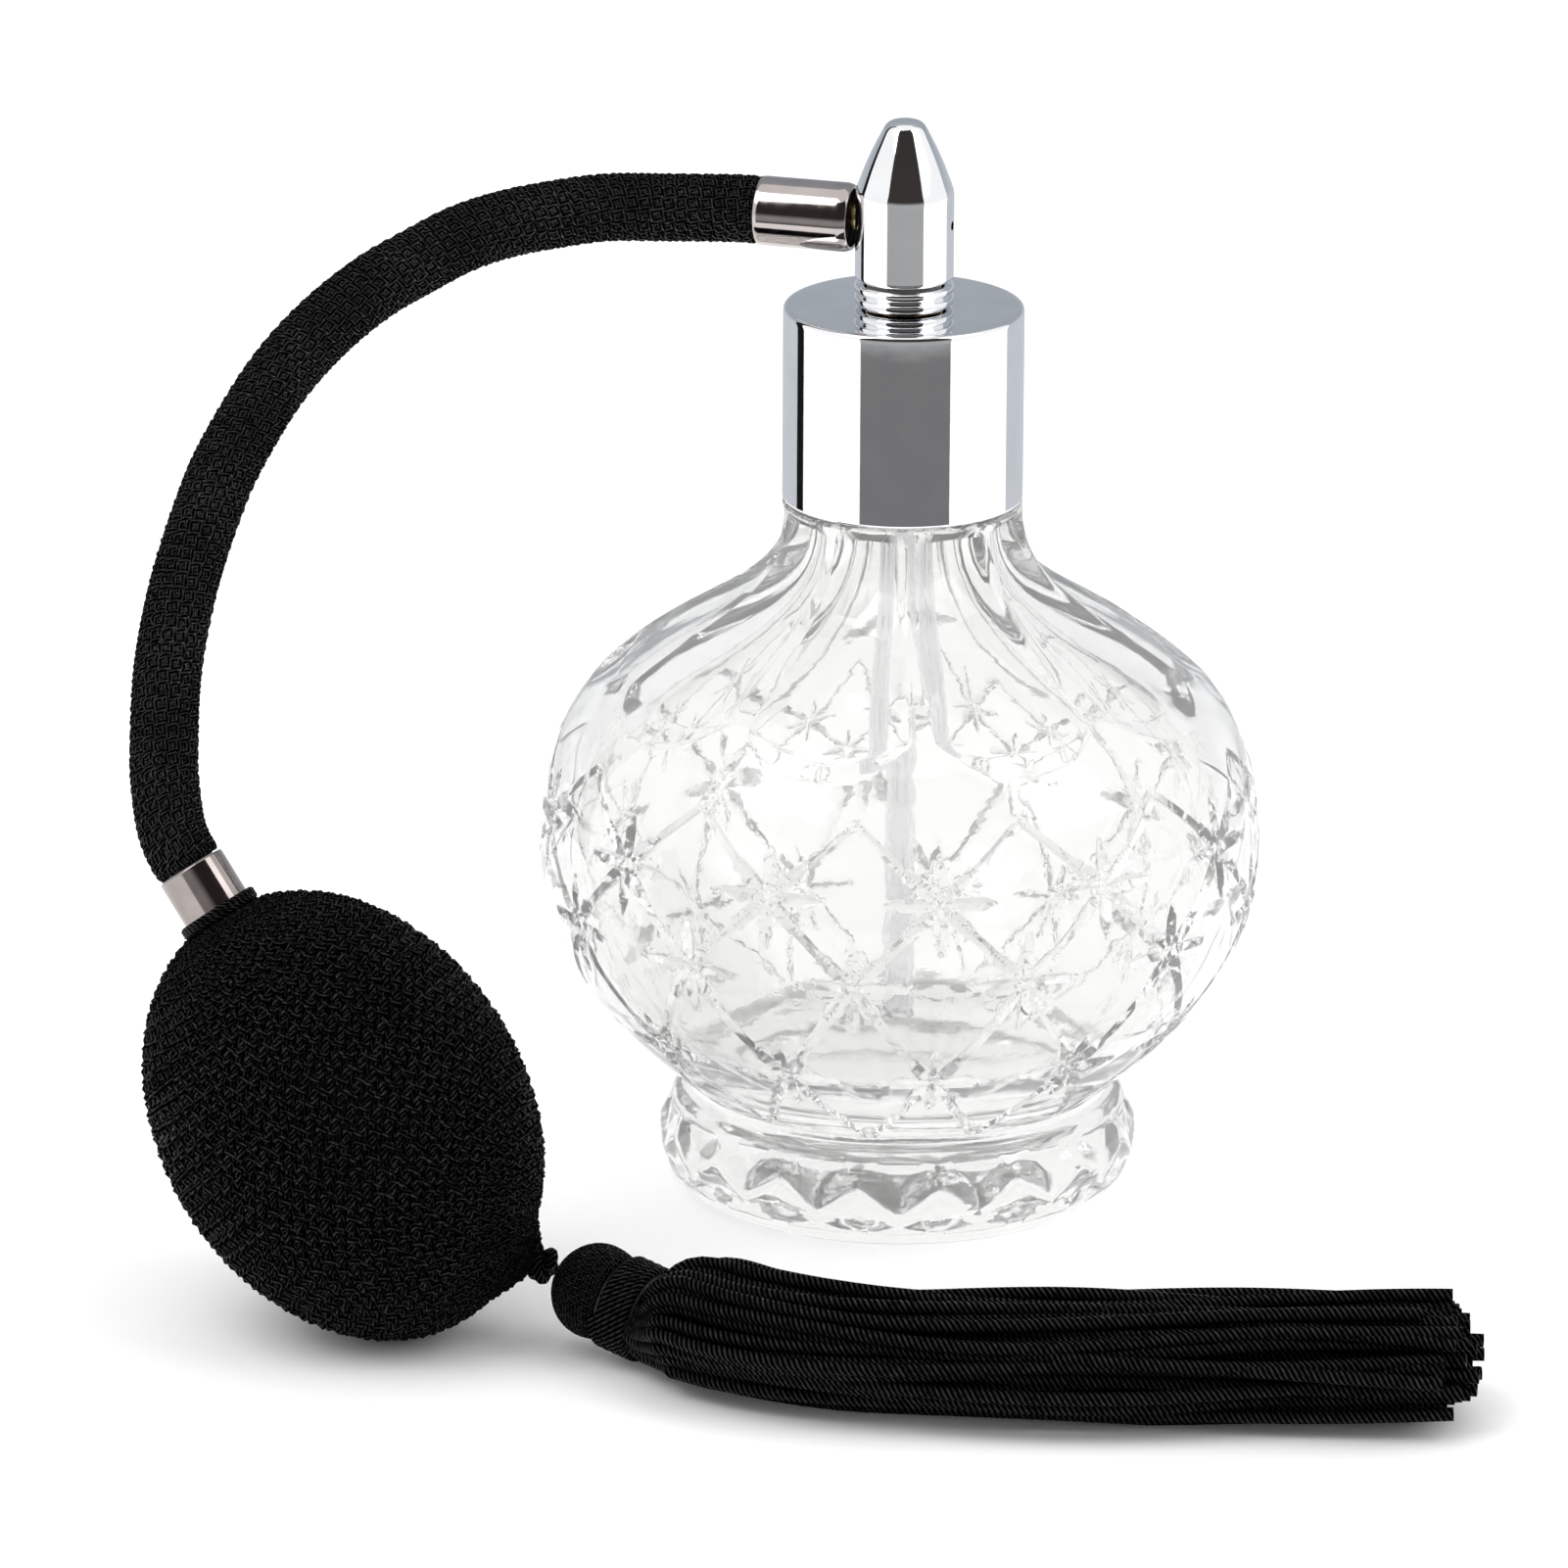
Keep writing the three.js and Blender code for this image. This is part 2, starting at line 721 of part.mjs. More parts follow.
// the tubing reaches into both ferrules, the braided sleeve stops at their ends
const hoseAxis = new THREE.Vector3(-Math.cos(headYaw), -Math.sin(headYaw), 0);
const alongHead = (distance) => new THREE.Vector3(0, 0, passageHeight).addScaledVector(hoseAxis, distance);
const alongBulb = (distance) => bulbCentre.clone().addScaledVector(bulbUp, distance);
const hoseMiddle = [
  alongHead(ferruleEnd + gap),
  alongHead(ferruleEnd + gap + straightEnd),
  ...hoseRoute.map((p) => new THREE.Vector3(...p)),
  alongBulb(bulbFerruleEnd + gap + straightEnd),
  alongBulb(bulbFerruleEnd + gap),
];
const sleeveCurve = new THREE.CatmullRomCurve3(hoseMiddle);
const tubingCurve = new THREE.CatmullRomCurve3([
  alongHead(tubingStart),
  ...hoseMiddle,
  alongBulb(bulbFerruleStart + 1),
]);
part.add(node('hose_sleeve', tubeAlong(sleeveCurve, hoseRadius, hoseRadius - sleeveWall), 'blackThread'));
part.add(node('hose_tubing', tubeAlong(tubingCurve, tubingRadius, tubingBore), 'blackRubber'));

const tasselAlong = directionOf(tasselHeading, tasselPitch);
const tassel = groupAlong(knotCentre, tasselAlong);
tassel.add(node('tassel_knot', new THREE.SphereGeometry(knotRadius, 14, 8), 'blackThread'));
tassel.add(node('tassel_head', tasselHead(), 'blackThread'));
tassel.add(node('tassel_core', tasselCore(), 'whitePlastic'));
tassel.add(node('tassel_band', tube(bandRadius, bandRadius - bandWall, bandStart, bandEnd), 'blackThread'));
part.add(tassel);
const skirtRoot = knotCentre.clone().addScaledVector(tasselAlong, bandEnd + skirtRoom);
part.add(node('tassel_skirt', skirt(skirtRoot), 'blackThread'));

export default part;
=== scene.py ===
import json
import math
import bpy
import bmesh
import numpy as np
from mathutils import Matrix, Vector
from mathutils.geometry import interpolate_bezier


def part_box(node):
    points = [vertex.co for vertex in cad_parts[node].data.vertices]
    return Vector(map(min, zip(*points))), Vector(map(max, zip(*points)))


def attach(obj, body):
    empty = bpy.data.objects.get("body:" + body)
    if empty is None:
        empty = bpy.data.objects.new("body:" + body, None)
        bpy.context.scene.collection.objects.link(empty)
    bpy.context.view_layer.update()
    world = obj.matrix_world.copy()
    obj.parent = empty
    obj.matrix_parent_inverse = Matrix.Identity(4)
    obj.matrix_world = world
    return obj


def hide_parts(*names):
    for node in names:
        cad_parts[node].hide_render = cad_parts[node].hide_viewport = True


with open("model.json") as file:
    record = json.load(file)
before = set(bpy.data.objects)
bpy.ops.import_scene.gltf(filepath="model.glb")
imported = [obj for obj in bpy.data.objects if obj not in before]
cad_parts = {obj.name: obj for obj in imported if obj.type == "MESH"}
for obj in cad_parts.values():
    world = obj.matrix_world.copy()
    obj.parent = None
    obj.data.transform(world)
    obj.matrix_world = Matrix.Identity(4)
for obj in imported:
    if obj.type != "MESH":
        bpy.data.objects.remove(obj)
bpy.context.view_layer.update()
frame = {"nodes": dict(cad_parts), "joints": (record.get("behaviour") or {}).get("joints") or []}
joints = {joint["name"]: joint for joint in frame["joints"]}
mm = 0.001


# ---- camera -----------------------------------------------------------------------------

cameraView = {
    "lookAt": (-12.55, 0, 44.9),  # mm
    "distance": 1400,             # mm
    "elevation": 18,              # degrees above level
    "lens": 297.2,                # mm, on a 36 mm sensor
    "roll": 0.3,                  # degrees, the top leans right
}


def placeCamera(view):
    data = bpy.data.cameras.new("camera")
    data.lens = view["lens"]
    data.sensor_width = 36
    data.clip_start = 0.05
    data.clip_end = 20
    data.dof.use_dof = False
    camera = bpy.data.objects.new("camera", data)
    bpy.context.scene.collection.objects.link(camera)
    tilt = math.radians(view["elevation"])
    outward = Vector((0, -math.cos(tilt), math.sin(tilt)))
    place = (Vector(view["lookAt"]) + outward * view["distance"]) * mm
    turn = outward.to_track_quat("Z", "Y").to_matrix() @ Matrix.Rotation(math.radians(view["roll"]), 3, "Z")
    camera.matrix_world = Matrix.Translation(place) @ turn.to_4x4()
    bpy.context.scene.camera = camera


placeCamera(cameraView)
bpy.context.scene.view_settings.view_transform = "Standard"


# ---- helpers for meshes -----------------------------------------------------------------

def keepPiece(name, mesh, material, body, crease=None):
    piece = bpy.data.objects.new(name, mesh)
    bpy.context.scene.collection.objects.link(piece)
    mesh.materials.clear()
    mesh.materials.append(material)
    mesh.shade_smooth()
    if crease is not None:
        mesh.set_sharp_from_angle(angle=math.radians(crease))
    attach(piece, body)
    return piece


def meshFrom(name, points, faces):
    mesh = bpy.data.meshes.new(name)
    mesh.from_pydata([tuple(point) for point in points], [], faces)
    mesh.validate()
    mesh.update()
    return mesh


def sideways(axis):
    axis = Vector(axis).normalized()
    helper = Vector((0, 0, 1)) if abs(axis.z) < 0.9 else Vector((1, 0, 0))
    side = axis.cross(helper).normalized()
    return side, axis.cross(side).normalized()


# rounds the corners of an outline: each corner is (radius, height, rounding), in mm
def rounded(corners, steps=5):
    outline = []
    count = len(corners)
    for i, (r, h, rounding) in enumerate(corners):
        corner = Vector((r, h))
        before = Vector(corners[i - 1][:2]) - corner
        after = Vector(corners[(i + 1) % count][:2]) - corner
        reach = min(rounding, before.length * 0.49, after.length * 0.49)
        if reach < 0.01:
            outline.append(corner)
            continue
        start = corner + before.normalized() * reach
        end = corner + after.normalized() * reach
        # a point just outside each end of the bend keeps the shading of the straight parts straight
        if before.length > reach * 4:
            outline.append(corner + before.normalized() * reach * 1.5)
        for step in range(steps + 1):
            t = step / steps
            outline.append(start.lerp(corner, t).lerp(corner.lerp(end, t), t))
        if after.length > reach * 4:
            outline.append(corner + after.normalized() * reach * 1.5)
    return outline


# turns a closed outline (radius, height in mm) about an axis; points on the axis become poles
def turned(name, outline, sides, origin=(0, 0, 0), axis=(0, 0, 1)):
    axis = Vector(axis).normalized()
    origin = Vector(origin)
    side, other = sideways(axis)
    points = []
    rings = []
    for r, h in outline:
        if r < 1e-4:
            rings.append([len(points)] * sides)
            points.append((origin + axis * h * mm))
            continue
        rings.append(list(range(len(points), len(points) + sides)))
        for i in range(sides):
            angle = 2 * math.pi * i / sides
            across = side * math.cos(angle) + other * math.sin(angle)
            points.append(origin + (across * r + axis * h) * mm)
    faces = []
    for j, ring in enumerate(rings):
        following = rings[(j + 1) % len(rings)]
        if ring[0] == ring[1] and following[0] == following[1]:
            continue
        for i in range(sides):
            k = (i + 1) % sides
            loop = [ring[i], ring[k], following[k], following[i]]
            face = [corner for n, corner in enumerate(loop) if corner != loop[n - 1]]
            faces.append(face)
    mesh = meshFrom(name, points, faces)
    faceOutwards(mesh)
    return mesh


def faceOutwards(mesh):
    work = bmesh.new()
    work.from_mesh(mesh)
    bmesh.ops.recalc_face_normals(work, faces=work.faces)
    work.to_mesh(mesh)
    work.free()


# a smooth line through chosen points, each in mm
def smoothLine(points, perStretch=12):
    points = [Vector(point) for point in points]
    ends = [points[0] * 2 - points[1]] + points + [points[-1] * 2 - points[-2]]
    line = []
    for a, b, c, d in zip(ends, ends[1:], ends[2:], ends[3:]):
        line += interpolate_bezier(b, b + (c - a) / 6, c - (d - b) / 6, c, perStretch + 1)[:-1]
    line.append(points[-1])
    return [point * mm for point in line]


def curveFrom(name, points):
    data = bpy.data.curves.new(name, "CURVE")
    data.dimensions = "3D"
    spline = data.splines.new("POLY")
    spline.points.add(len(points) - 1)
    for place, point in zip(spline.points, points):
        place.co = (*point, 1)
    curve = bpy.data.objects.new(name, data)
    bpy.context.scene.collection.objects.link(curve)
    return curve


# ---- helpers for Geometry Nodes ---------------------------------------------------------

class Pattern:
    def __init__(self, name, sizes):
        self.tree = bpy.data.node_groups.new(name, "GeometryNodeTree")
        face = self.tree.interface
        face.new_socket(name="Geometry", in_out="INPUT", socket_type="NodeSocketGeometry")
        face.new_socket(name="Geometry", in_out="OUTPUT", socket_type="NodeSocketGeometry")
        self.sockets = {}
        for label, value in sizes.items():
            kinds = {int: "NodeSocketInt", float: "NodeSocketFloat", Vector: "NodeSocketVector"}
            kind = kinds.get(type(value), "NodeSocketMaterial")
            self.sockets[label] = face.new_socket(name=label, in_out="INPUT", socket_type=kind)
        self.sizes = sizes
        self.start = self.tree.nodes.new("NodeGroupInput")
        self.end = self.tree.nodes.new("NodeGroupOutput")

    def size(self, label):
        return self.start.outputs[label]

    def feed(self, socket, value):
        if isinstance(value, bpy.types.NodeSocket):
            self.tree.links.new(value, socket)
        else:
            socket.default_value = value

    def node(self, kind, feeds=None, **settings):
        made = self.tree.nodes.new(kind)
        for label, value in settings.items():
            setattr(made, label, value)
        for label, value in (feeds or {}).items():
            self.feed(made.inputs[label], value)
        return made

    def calc(self, operation, *values):
        made = self.node("ShaderNodeMath", dict(enumerate(values)), operation=operation)
        return made.outputs[0]

    def vector(self, operation, *values):
        made = self.node("ShaderNodeVectorMath", dict(enumerate(values)), operation=operation)
        return made.outputs[1 if operation == "DOT_PRODUCT" else 0]

    def scaled(self, vector, factor):
        made = self.node("ShaderNodeVectorMath", {"Vector": vector, "Scale": factor}, operation="SCALE")
        return made.outputs[0]

    def keep(self, geometry, label, value):
        feeds = {"Geometry": geometry, "Name": label, "Value": value}
        return self.node("GeometryNodeStoreNamedAttribute", feeds).outputs[0]

    # yarn along a curve, with what the thread material needs to show its twist
    def yarn(self, curve, radius, sides, pitch, thickness=1.0):
        ring = self.node("GeometryNodeCurvePrimitiveCircle", {"Resolution": sides, "Radius": radius})
        around = self.node("GeometryNodeSplineParameter")
        angle = self.calc("MULTIPLY", around.outputs["Factor"], 2 * math.pi)
        profile = self.keep(ring.outputs[0], "plyCos", self.calc("COSINE", angle))
        profile = self.keep(profile, "plySin", self.calc("SINE", angle))
        along = self.node("GeometryNodeSplineParameter")
        curve = self.keep(curve, "plyTurns", self.calc("DIVIDE", along.outputs["Length"], pitch))
        feeds = {"Curve": curve, "Profile Curve": profile, "Scale": thickness, "Fill Caps": True}
        return self.node("GeometryNodeCurveToMesh", feeds).outputs[0]

    # runs the tree once on an object and gives back a plain mesh
    def make(self, name, geometry, material, carrier=None):
        whole = self.node("GeometryNodeRealizeInstances", {"Geometry": geometry})
        smooth = self.node("GeometryNodeSetShadeSmooth", {"Geometry": whole.outputs[0]})
        feeds = {"Geometry": smooth.outputs[0], "Material": material}
        painted = self.node("GeometryNodeSetMaterial", feeds)
        self.tree.links.new(painted.outputs[0], self.end.inputs[0])
        if carrier is None:
            carrier = bpy.data.objects.new(name + "Carrier", bpy.data.meshes.new(name + "Carrier"))
            bpy.context.scene.collection.objects.link(carrier)
        modifier = carrier.modifiers.new(name, "NODES")
        modifier.node_group = self.tree
        for label, value in self.sizes.items():
            modifier[self.sockets[label].identifier] = tuple(value) if isinstance(value, Vector) else value
        bpy.context.view_layer.update()
        evaluated = carrier.evaluated_get(bpy.context.evaluated_depsgraph_get())
        mesh = bpy.data.meshes.new_from_object(evaluated)
        mesh.name = name
        carrier.modifiers.remove(modifier)
        bpy.data.objects.remove(carrier)
        return mesh


# ---- finishes ---------------------------------------------------------------------------

class Finish:
    def __init__(self, name, **sockets):
        self.material = bpy.data.materials.new(name)
        self.material.use_nodes = True
        self.tree = self.material.node_tree
        self.shader = self.tree.nodes["Principled BSDF"]
        for label, value in sockets.items():
            words = {"ior": "IOR", "specular": "Specular IOR Level", "transmission": "Transmission Weight"}
            self.shader.inputs[words.get(label, label.capitalize())].default_value = value

    def node(self, kind, feeds=None, **settings):
        made = self.tree.nodes.new(kind)
        for label, value in settings.items():
            setattr(made, label, value)
        for label, value in (feeds or {}).items():
            if isinstance(value, bpy.types.NodeSocket):
                self.tree.links.new(value, made.inputs[label])
            else:
                made.inputs[label].default_value = value
        return made

    def place(self):
        return self.node("ShaderNodeTexCoord").outputs["Object"]

    def noise(self, scale, detail=3.0, place=None):
        feeds = {"Vector": place or self.place(), "Scale": scale, "Detail": detail}
        return self.node("ShaderNodeTexNoise", feeds).outputs["Fac"]

    def spread(self, value, low, high):
        feeds = {"Value": value, "From Min": 0.3, "From Max": 0.7, "To Min": low, "To Max": high}
        return self.node("ShaderNodeMapRange", feeds).outputs[0]

    def blend(self, value, dark, light):
        ramp = self.node("ShaderNodeValToRGB", {"Fac": value})
        ramp.color_ramp.elements[0].position = 0.3
        ramp.color_ramp.elements[0].color = (*dark, 1)
        ramp.color_ramp.elements[1].position = 0.7
        ramp.color_ramp.elements[1].color = (*light, 1)
        return ramp.outputs["Color"]

    def link(self, value, label):
        self.tree.links.new(value, self.shader.inputs[label])

    def bump(self, height, distance, strength=1.0, under=None):
        feeds = {"Height": height, "Distance": distance, "Strength": strength}
        if under is not None:
            feeds["Normal"] = under
        return self.node("ShaderNodeBump", feeds).outputs[0]


def clearGlass():
    finish = Finish("clearGlass", transmission=0.9, ior=1.43, specular=0.5)
    finish.shader.inputs["Base Color"].default_value = (0.925, 0.924, 0.916, 1)
    finish.link(finish.spread(finish.noise(90, 2.0), 0.0, 0.035), "Roughness")
    ripples = finish.bump(finish.noise(260, 2.0), 0.00009, 0.5)
    finish.link(finish.bump(finish.noise(2600, 2.0), 0.000006, 0.5, ripples), "Normal")
    return finish.material


def plated(name, dark, light, low, high):
    finish = Finish(name, metallic=1.0)
    finish.link(finish.blend(finish.noise(240), dark, light), "Base Color")
    finish.link(finish.spread(finish.noise(900, 4.0), low, high), "Roughness")
    finish.link(finish.bump(finish.noise(180, 2.0), 0.000012, 0.6), "Normal")
    return finish.material


def moulded(name, dark, light, low, high, **sockets):
    finish = Finish(name, **sockets)
    finish.link(finish.blend(finish.noise(150), dark, light), "Base Color")
    finish.link(finish.spread(finish.noise(700, 4.0), low, high), "Roughness")
    finish.link(finish.bump(finish.noise(1500, 3.0), 0.00002, 0.5), "Normal")
    return finish.material


# black twisted yarn: the twist follows the attributes that the yarn's own tree keeps
def blackThread(plies=4):
    finish = Finish("blackThread")
    cosine = finish.node("ShaderNodeAttribute", attribute_name="plyCos").outputs["Fac"]
    sine = finish.node("ShaderNodeAttribute", attribute_name="plySin").outputs["Fac"]
    turns = finish.node("ShaderNodeAttribute", attribute_name="plyTurns").outputs["Fac"]
    angle = finish.node("ShaderNodeMath", {0: turns, 1: 2 * math.pi}, operation="MULTIPLY").outputs[0]
    around = finish.node("ShaderNodeMath", {0: sine, 1: cosine}, operation="ARCTAN2").outputs[0]
    feeds = {0: around, 1: -plies, 2: angle}
    lead = finish.node("ShaderNodeMath", feeds, operation="MULTIPLY_ADD").outputs[0]
    ply = finish.node("ShaderNodeMath", {0: lead}, operation="COSINE").outputs[0]
    height = finish.node("ShaderNodeMath", {0: ply, 1: 0.5, 2: 0.5}, operation="MULTIPLY_ADD").outputs[0]
    fibre = finish.noise(2600, 3.0)
    # painted shade: the base colour is darkest in the grooves between the plies and lightest on their
    # crests
    colour = finish.blend(height, (0.0006, 0.0006, 0.0007), (0.0070, 0.0068, 0.0072))
    tint = finish.blend(fibre, (0.55, 0.55, 0.6), (1.25, 1.2, 1.2))
    fibreToneAndPaintedGrooveShade = finish.node("ShaderNodeMix", {"Factor": 1.0}, data_type="RGBA", blend_type="MULTIPLY")
    finish.tree.links.new(colour, fibreToneAndPaintedGrooveShade.inputs[6])
    finish.tree.links.new(tint, fibreToneAndPaintedGrooveShade.inputs[7])
    finish.link(fibreToneAndPaintedGrooveShade.outputs[2], "Base Color")
    finish.link(finish.spread(fibre, 0.36, 0.6), "Roughness")
    crest = finish.node("ShaderNodeMath", {0: height, 1: 3}, operation="POWER").outputs[0]
    gleam = finish.spread(finish.noise(1500, 2.0), 0.03, 0.6)
    gleam = finish.node("ShaderNodeMath", {0: crest, 1: gleam}, operation="MULTIPLY").outputs[0]
    finish.link(gleam, "Specular IOR Level")
    twist = finish.bump(height, 0.00022, 1.0)
    finish.link(finish.bump(fibre, 0.00005, 0.5, twist), "Normal")
    return finish.material


finishes = {
    "glass": clearGlass(),
    "chrome": plated("brightChrome", (0.84, 0.85, 0.87), (0.90, 0.91, 0.92), 0.02, 0.05),
    "warmChrome": plated("warmChrome", (0.46, 0.42, 0.405), (0.54, 0.49, 0.475), 0.05, 0.11),
    # a darker copy of warmChrome for the bulb ferrule alone: painted shade standing in for the dark
    # reflection that ferrule shows
    "paintedShadeChrome": plated("paintedShadeChrome", (0.31, 0.27, 0.26), (0.40, 0.355, 0.345), 0.06, 0.12),
    "brass": plated("brassInner", (0.66, 0.50, 0.25), (0.78, 0.62, 0.33), 0.14, 0.30),
    "steel": plated("ballSteel", (0.55, 0.56, 0.58), (0.68, 0.69, 0.70), 0.07, 0.15),
    "whitePlastic": moulded("whitePlastic", (0.80, 0.80, 0.78), (0.87, 0.87, 0.85), 0.28, 0.42),
    "clearPlastic": moulded("clearPlastic", (0.93, 0.94, 0.95), (0.98, 0.98, 0.99), 0.05, 0.16,
                            transmission=0.92, ior=1.5),
    "rubber": moulded("blackRubber", (0.010, 0.010, 0.011), (0.020, 0.020, 0.021), 0.55, 0.75,
                      specular=0.3),
    "thread": blackThread(),
}
print("finishes ready")


# ---- hose: a round braid over rubber tubing ---------------------------------------------

hoseSizes = {
    "route": [(-20.4, 5.6, 107.9), (-25.6, 6.1, 107.8), (-31.8, 5.5, 107.9), (-37.1, 4.3, 107.5),
              (-42.2, 2.7, 106.9), (-47.1, 0.9, 105.7), (-51.8, -1.1, 103.7), (-56.1, -3.2, 101.7),
              (-60, -5.5, 99.2), (-63.6, -8, 96.3), (-66.7, -10.6, 93.1), (-69.2, -13.2, 89.7),
              (-71.5, -16, 86.1), (-73.3, -18.6, 82.4), (-76, -23.9, 74.8), (-77.6, -29, 66.9),
              (-77.9, -33.9, 59), (-77.6, -36, 55.2), (-77, -37.6, 52)],
    "headYaw": -16,          # degrees, the hose leaves opposite the nozzle
    "passageHeight": 108.0,
    "fromHead": (16.2, 18.0),
    "fromBulb": (32.8, 31.0),
    "diameter": 7.2,
    "strands": 32,
    "turns": 4.8,
    "centreRadius": 3.2,
    "lift": 0.17,
    "strandRadius": 0.37,
    "points": 440,
}

bulbUp = Vector(joints["outlet_valve_lift"]["axis"]).normalized()
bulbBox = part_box("bulb_net")
bulbCentre = (Vector(bulbBox[0]) + Vector(bulbBox[1])) / 2 / mm
hoseYaw = math.radians(180 + hoseSizes["headYaw"])
hoseAxis = Vector((math.cos(hoseYaw), math.sin(hoseYaw), 0))
passage = Vector((0, 0, hoseSizes["passageHeight"]))


def hoseLine(sizes):
    points = [passage + hoseAxis * reach for reach in sizes["fromHead"]]
    points += [Vector(point) for point in sizes["route"]]
    points += [bulbCentre + bulbUp * reach for reach in sizes["fromBulb"]]
    return smoothLine(points)


def braid(line, sizes):
    pattern = Pattern("hoseBraid", {
        "Strands": sizes["strands"],
        "Turns": float(sizes["turns"]),
        "Centre Radius": sizes["centreRadius"] * mm,
        "Lift": sizes["lift"] * mm,
        "Strand Radius": sizes["strandRadius"] * mm,
        "Points": sizes["points"],
        "Finish": finishes["thread"],
    })
    feeds = {"Curve": pattern.start.outputs[0], "Count": pattern.size("Points")}
    fine = pattern.node("GeometryNodeResampleCurve", feeds)
    feeds = {"Geometry": fine.outputs[0], "Amount": pattern.size("Strands")}
    copies = pattern.node("GeometryNodeDuplicateElements", feeds, domain="SPLINE")
    number = copies.outputs["Duplicate Index"]
    hand = pattern.calc("SUBTRACT", 1, pattern.calc("MULTIPLY", 2, pattern.calc("MODULO", number, 2)))
    pair = pattern.calc("FLOOR", pattern.calc("DIVIDE", number, 2))
    pairs = pattern.calc("DIVIDE", pattern.size("Strands"), 2)
    along = pattern.node("GeometryNodeSplineParameter").outputs["Factor"]
    wound = pattern.calc("MULTIPLY", pattern.calc("MULTIPLY", pattern.size("Turns"), along), 2 * math.pi)
    first = pattern.calc("MULTIPLY", pattern.calc("DIVIDE", pair, pairs), 2 * math.pi)
    angle = pattern.calc("ADD", pattern.calc("MULTIPLY", wound, hand), first)
    weave = pattern.calc("COSINE", pattern.calc("MULTIPLY", wound, pairs))
    rise = pattern.calc("MULTIPLY", pattern.calc("MULTIPLY", weave, hand), pattern.size("Lift"))
    radius = pattern.calc("ADD", pattern.size("Centre Radius"), rise)
    normal = pattern.node("GeometryNodeInputNormal").outputs["Normal"]
    tangent = pattern.node("GeometryNodeInputTangent").outputs[0]
    side = pattern.vector("CROSS_PRODUCT", tangent, normal)
    out = pattern.scaled(normal, pattern.calc("MULTIPLY", pattern.calc("COSINE", angle), radius))
    over = pattern.scaled(side, pattern.calc("MULTIPLY", pattern.calc("SINE", angle), radius))
    feeds = {"Geometry": copies.outputs[0], "Offset": pattern.vector("ADD", out, over)}
    moved = pattern.node("GeometryNodeSetPosition", feeds)
    yarn = pattern.yarn(moved.outputs[0], pattern.size("Strand Radius"), 5, 0.0006)
    return pattern.make("hoseBraid", yarn, pattern.size("Finish"), curveFrom("hoseLine", line))


hosePath = hoseLine(hoseSizes)
hoseLength = sum((b - a).length for a, b in zip(hosePath, hosePath[1:]))
hose = keepPiece("braidedHose", braid(hosePath, hoseSizes), finishes["thread"], "head")
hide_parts("hose_sleeve")
hose.visible_glossy = False
frame["nodes"]["hose_tubing"].visible_glossy = False
tuple(hosePath[0])
[tuple(point) for point in hosePath]
print("hose braided", round(hoseLength * 1000, 1), "mm")


# ---- bottle: pressed glass with cut stars and fluted shoulder ---------------------------

bottleSizes = {
    "stars": 13,
    "firstStar": 6,          # degrees right of the front
    "cells": 24,             # grid cells in half a star's spacing
    "starLevels": (22.0, 34.7, 44.0, 52.0),   # rows of stars, then the peaks above them
    "lineDepth": 0.46,
    "lineCells": 2,
    "spokeWidth": 0.85,
    "spokeSlope": 1.05,
    "spokeAcross": 6.3,
    "spokeUp": 5.6,
    "flutes": 9,
    "firstRidge": 4,
    "fluteHalf": 17.2,       # degrees
    "fluteDepth": 1.2,
    "fluteFoot": 55.5,
    "fluteRise": 3.6,
    "footFacets": 18,
    "footDepth": 0.6,
    "threadPitch": 3.0,
    "threadHeight": 0.62,
}


def bows(start, *stretches):
    line = [Vector(start)]
    for pull, otherPull, end in stretches:
        if pull is None:
            line.append(Vector(end))
            continue
        line += interpolate_bezier(line[-1], Vector(pull), Vector(otherPull), Vector(end), 40)[1:]
    return np.array([(point.x, point.y) for point in line])


def bottleOutline():
    return bows(
        (21.8, 0),
        ((24.2, 0.4), (25.9, 3), (25.9, 6)),
        ((25.9, 7.6), (25.6, 9.2), (24.6, 10.2)),
        ((23.8, 10.8), (22.6, 11.6), (22.9, 12.4)),
        ((31, 19.2), (39, 27), (39, 38)),
        ((39, 47), (37, 54), (29.5, 59.5)),
        ((21, 66), (13, 67.2), (12.9, 77.0)),
    )


def bottleInside():
    return bows(
        (6.8, 91.6),
        (None, None, (6.8, 74.2)),
        ((6.8, 64.2), (18.9, 62.25), (25.9, 57.25)),
        ((32.9, 51.75), (34.5, 46), (34.5, 38)),
        ((34.5, 26), (26, 16.5), (14, 16.5)),
    )


class Outline:
    def __init__(self, points):
        self.points = points
        steps = np.hypot(*np.diff(points, axis=0).T)
        self.run = np.concatenate([[0], np.cumsum(steps)])

    def at(self, run):
        return np.interp(run, self.run, self.points[:, 0]), np.interp(run, self.run, self.points[:, 1])

    def runAt(self, height):
        return np.interp(height, self.points[:, 1], self.run)


def wrapped(value, period):
    return (value + period / 2) % period - period / 2


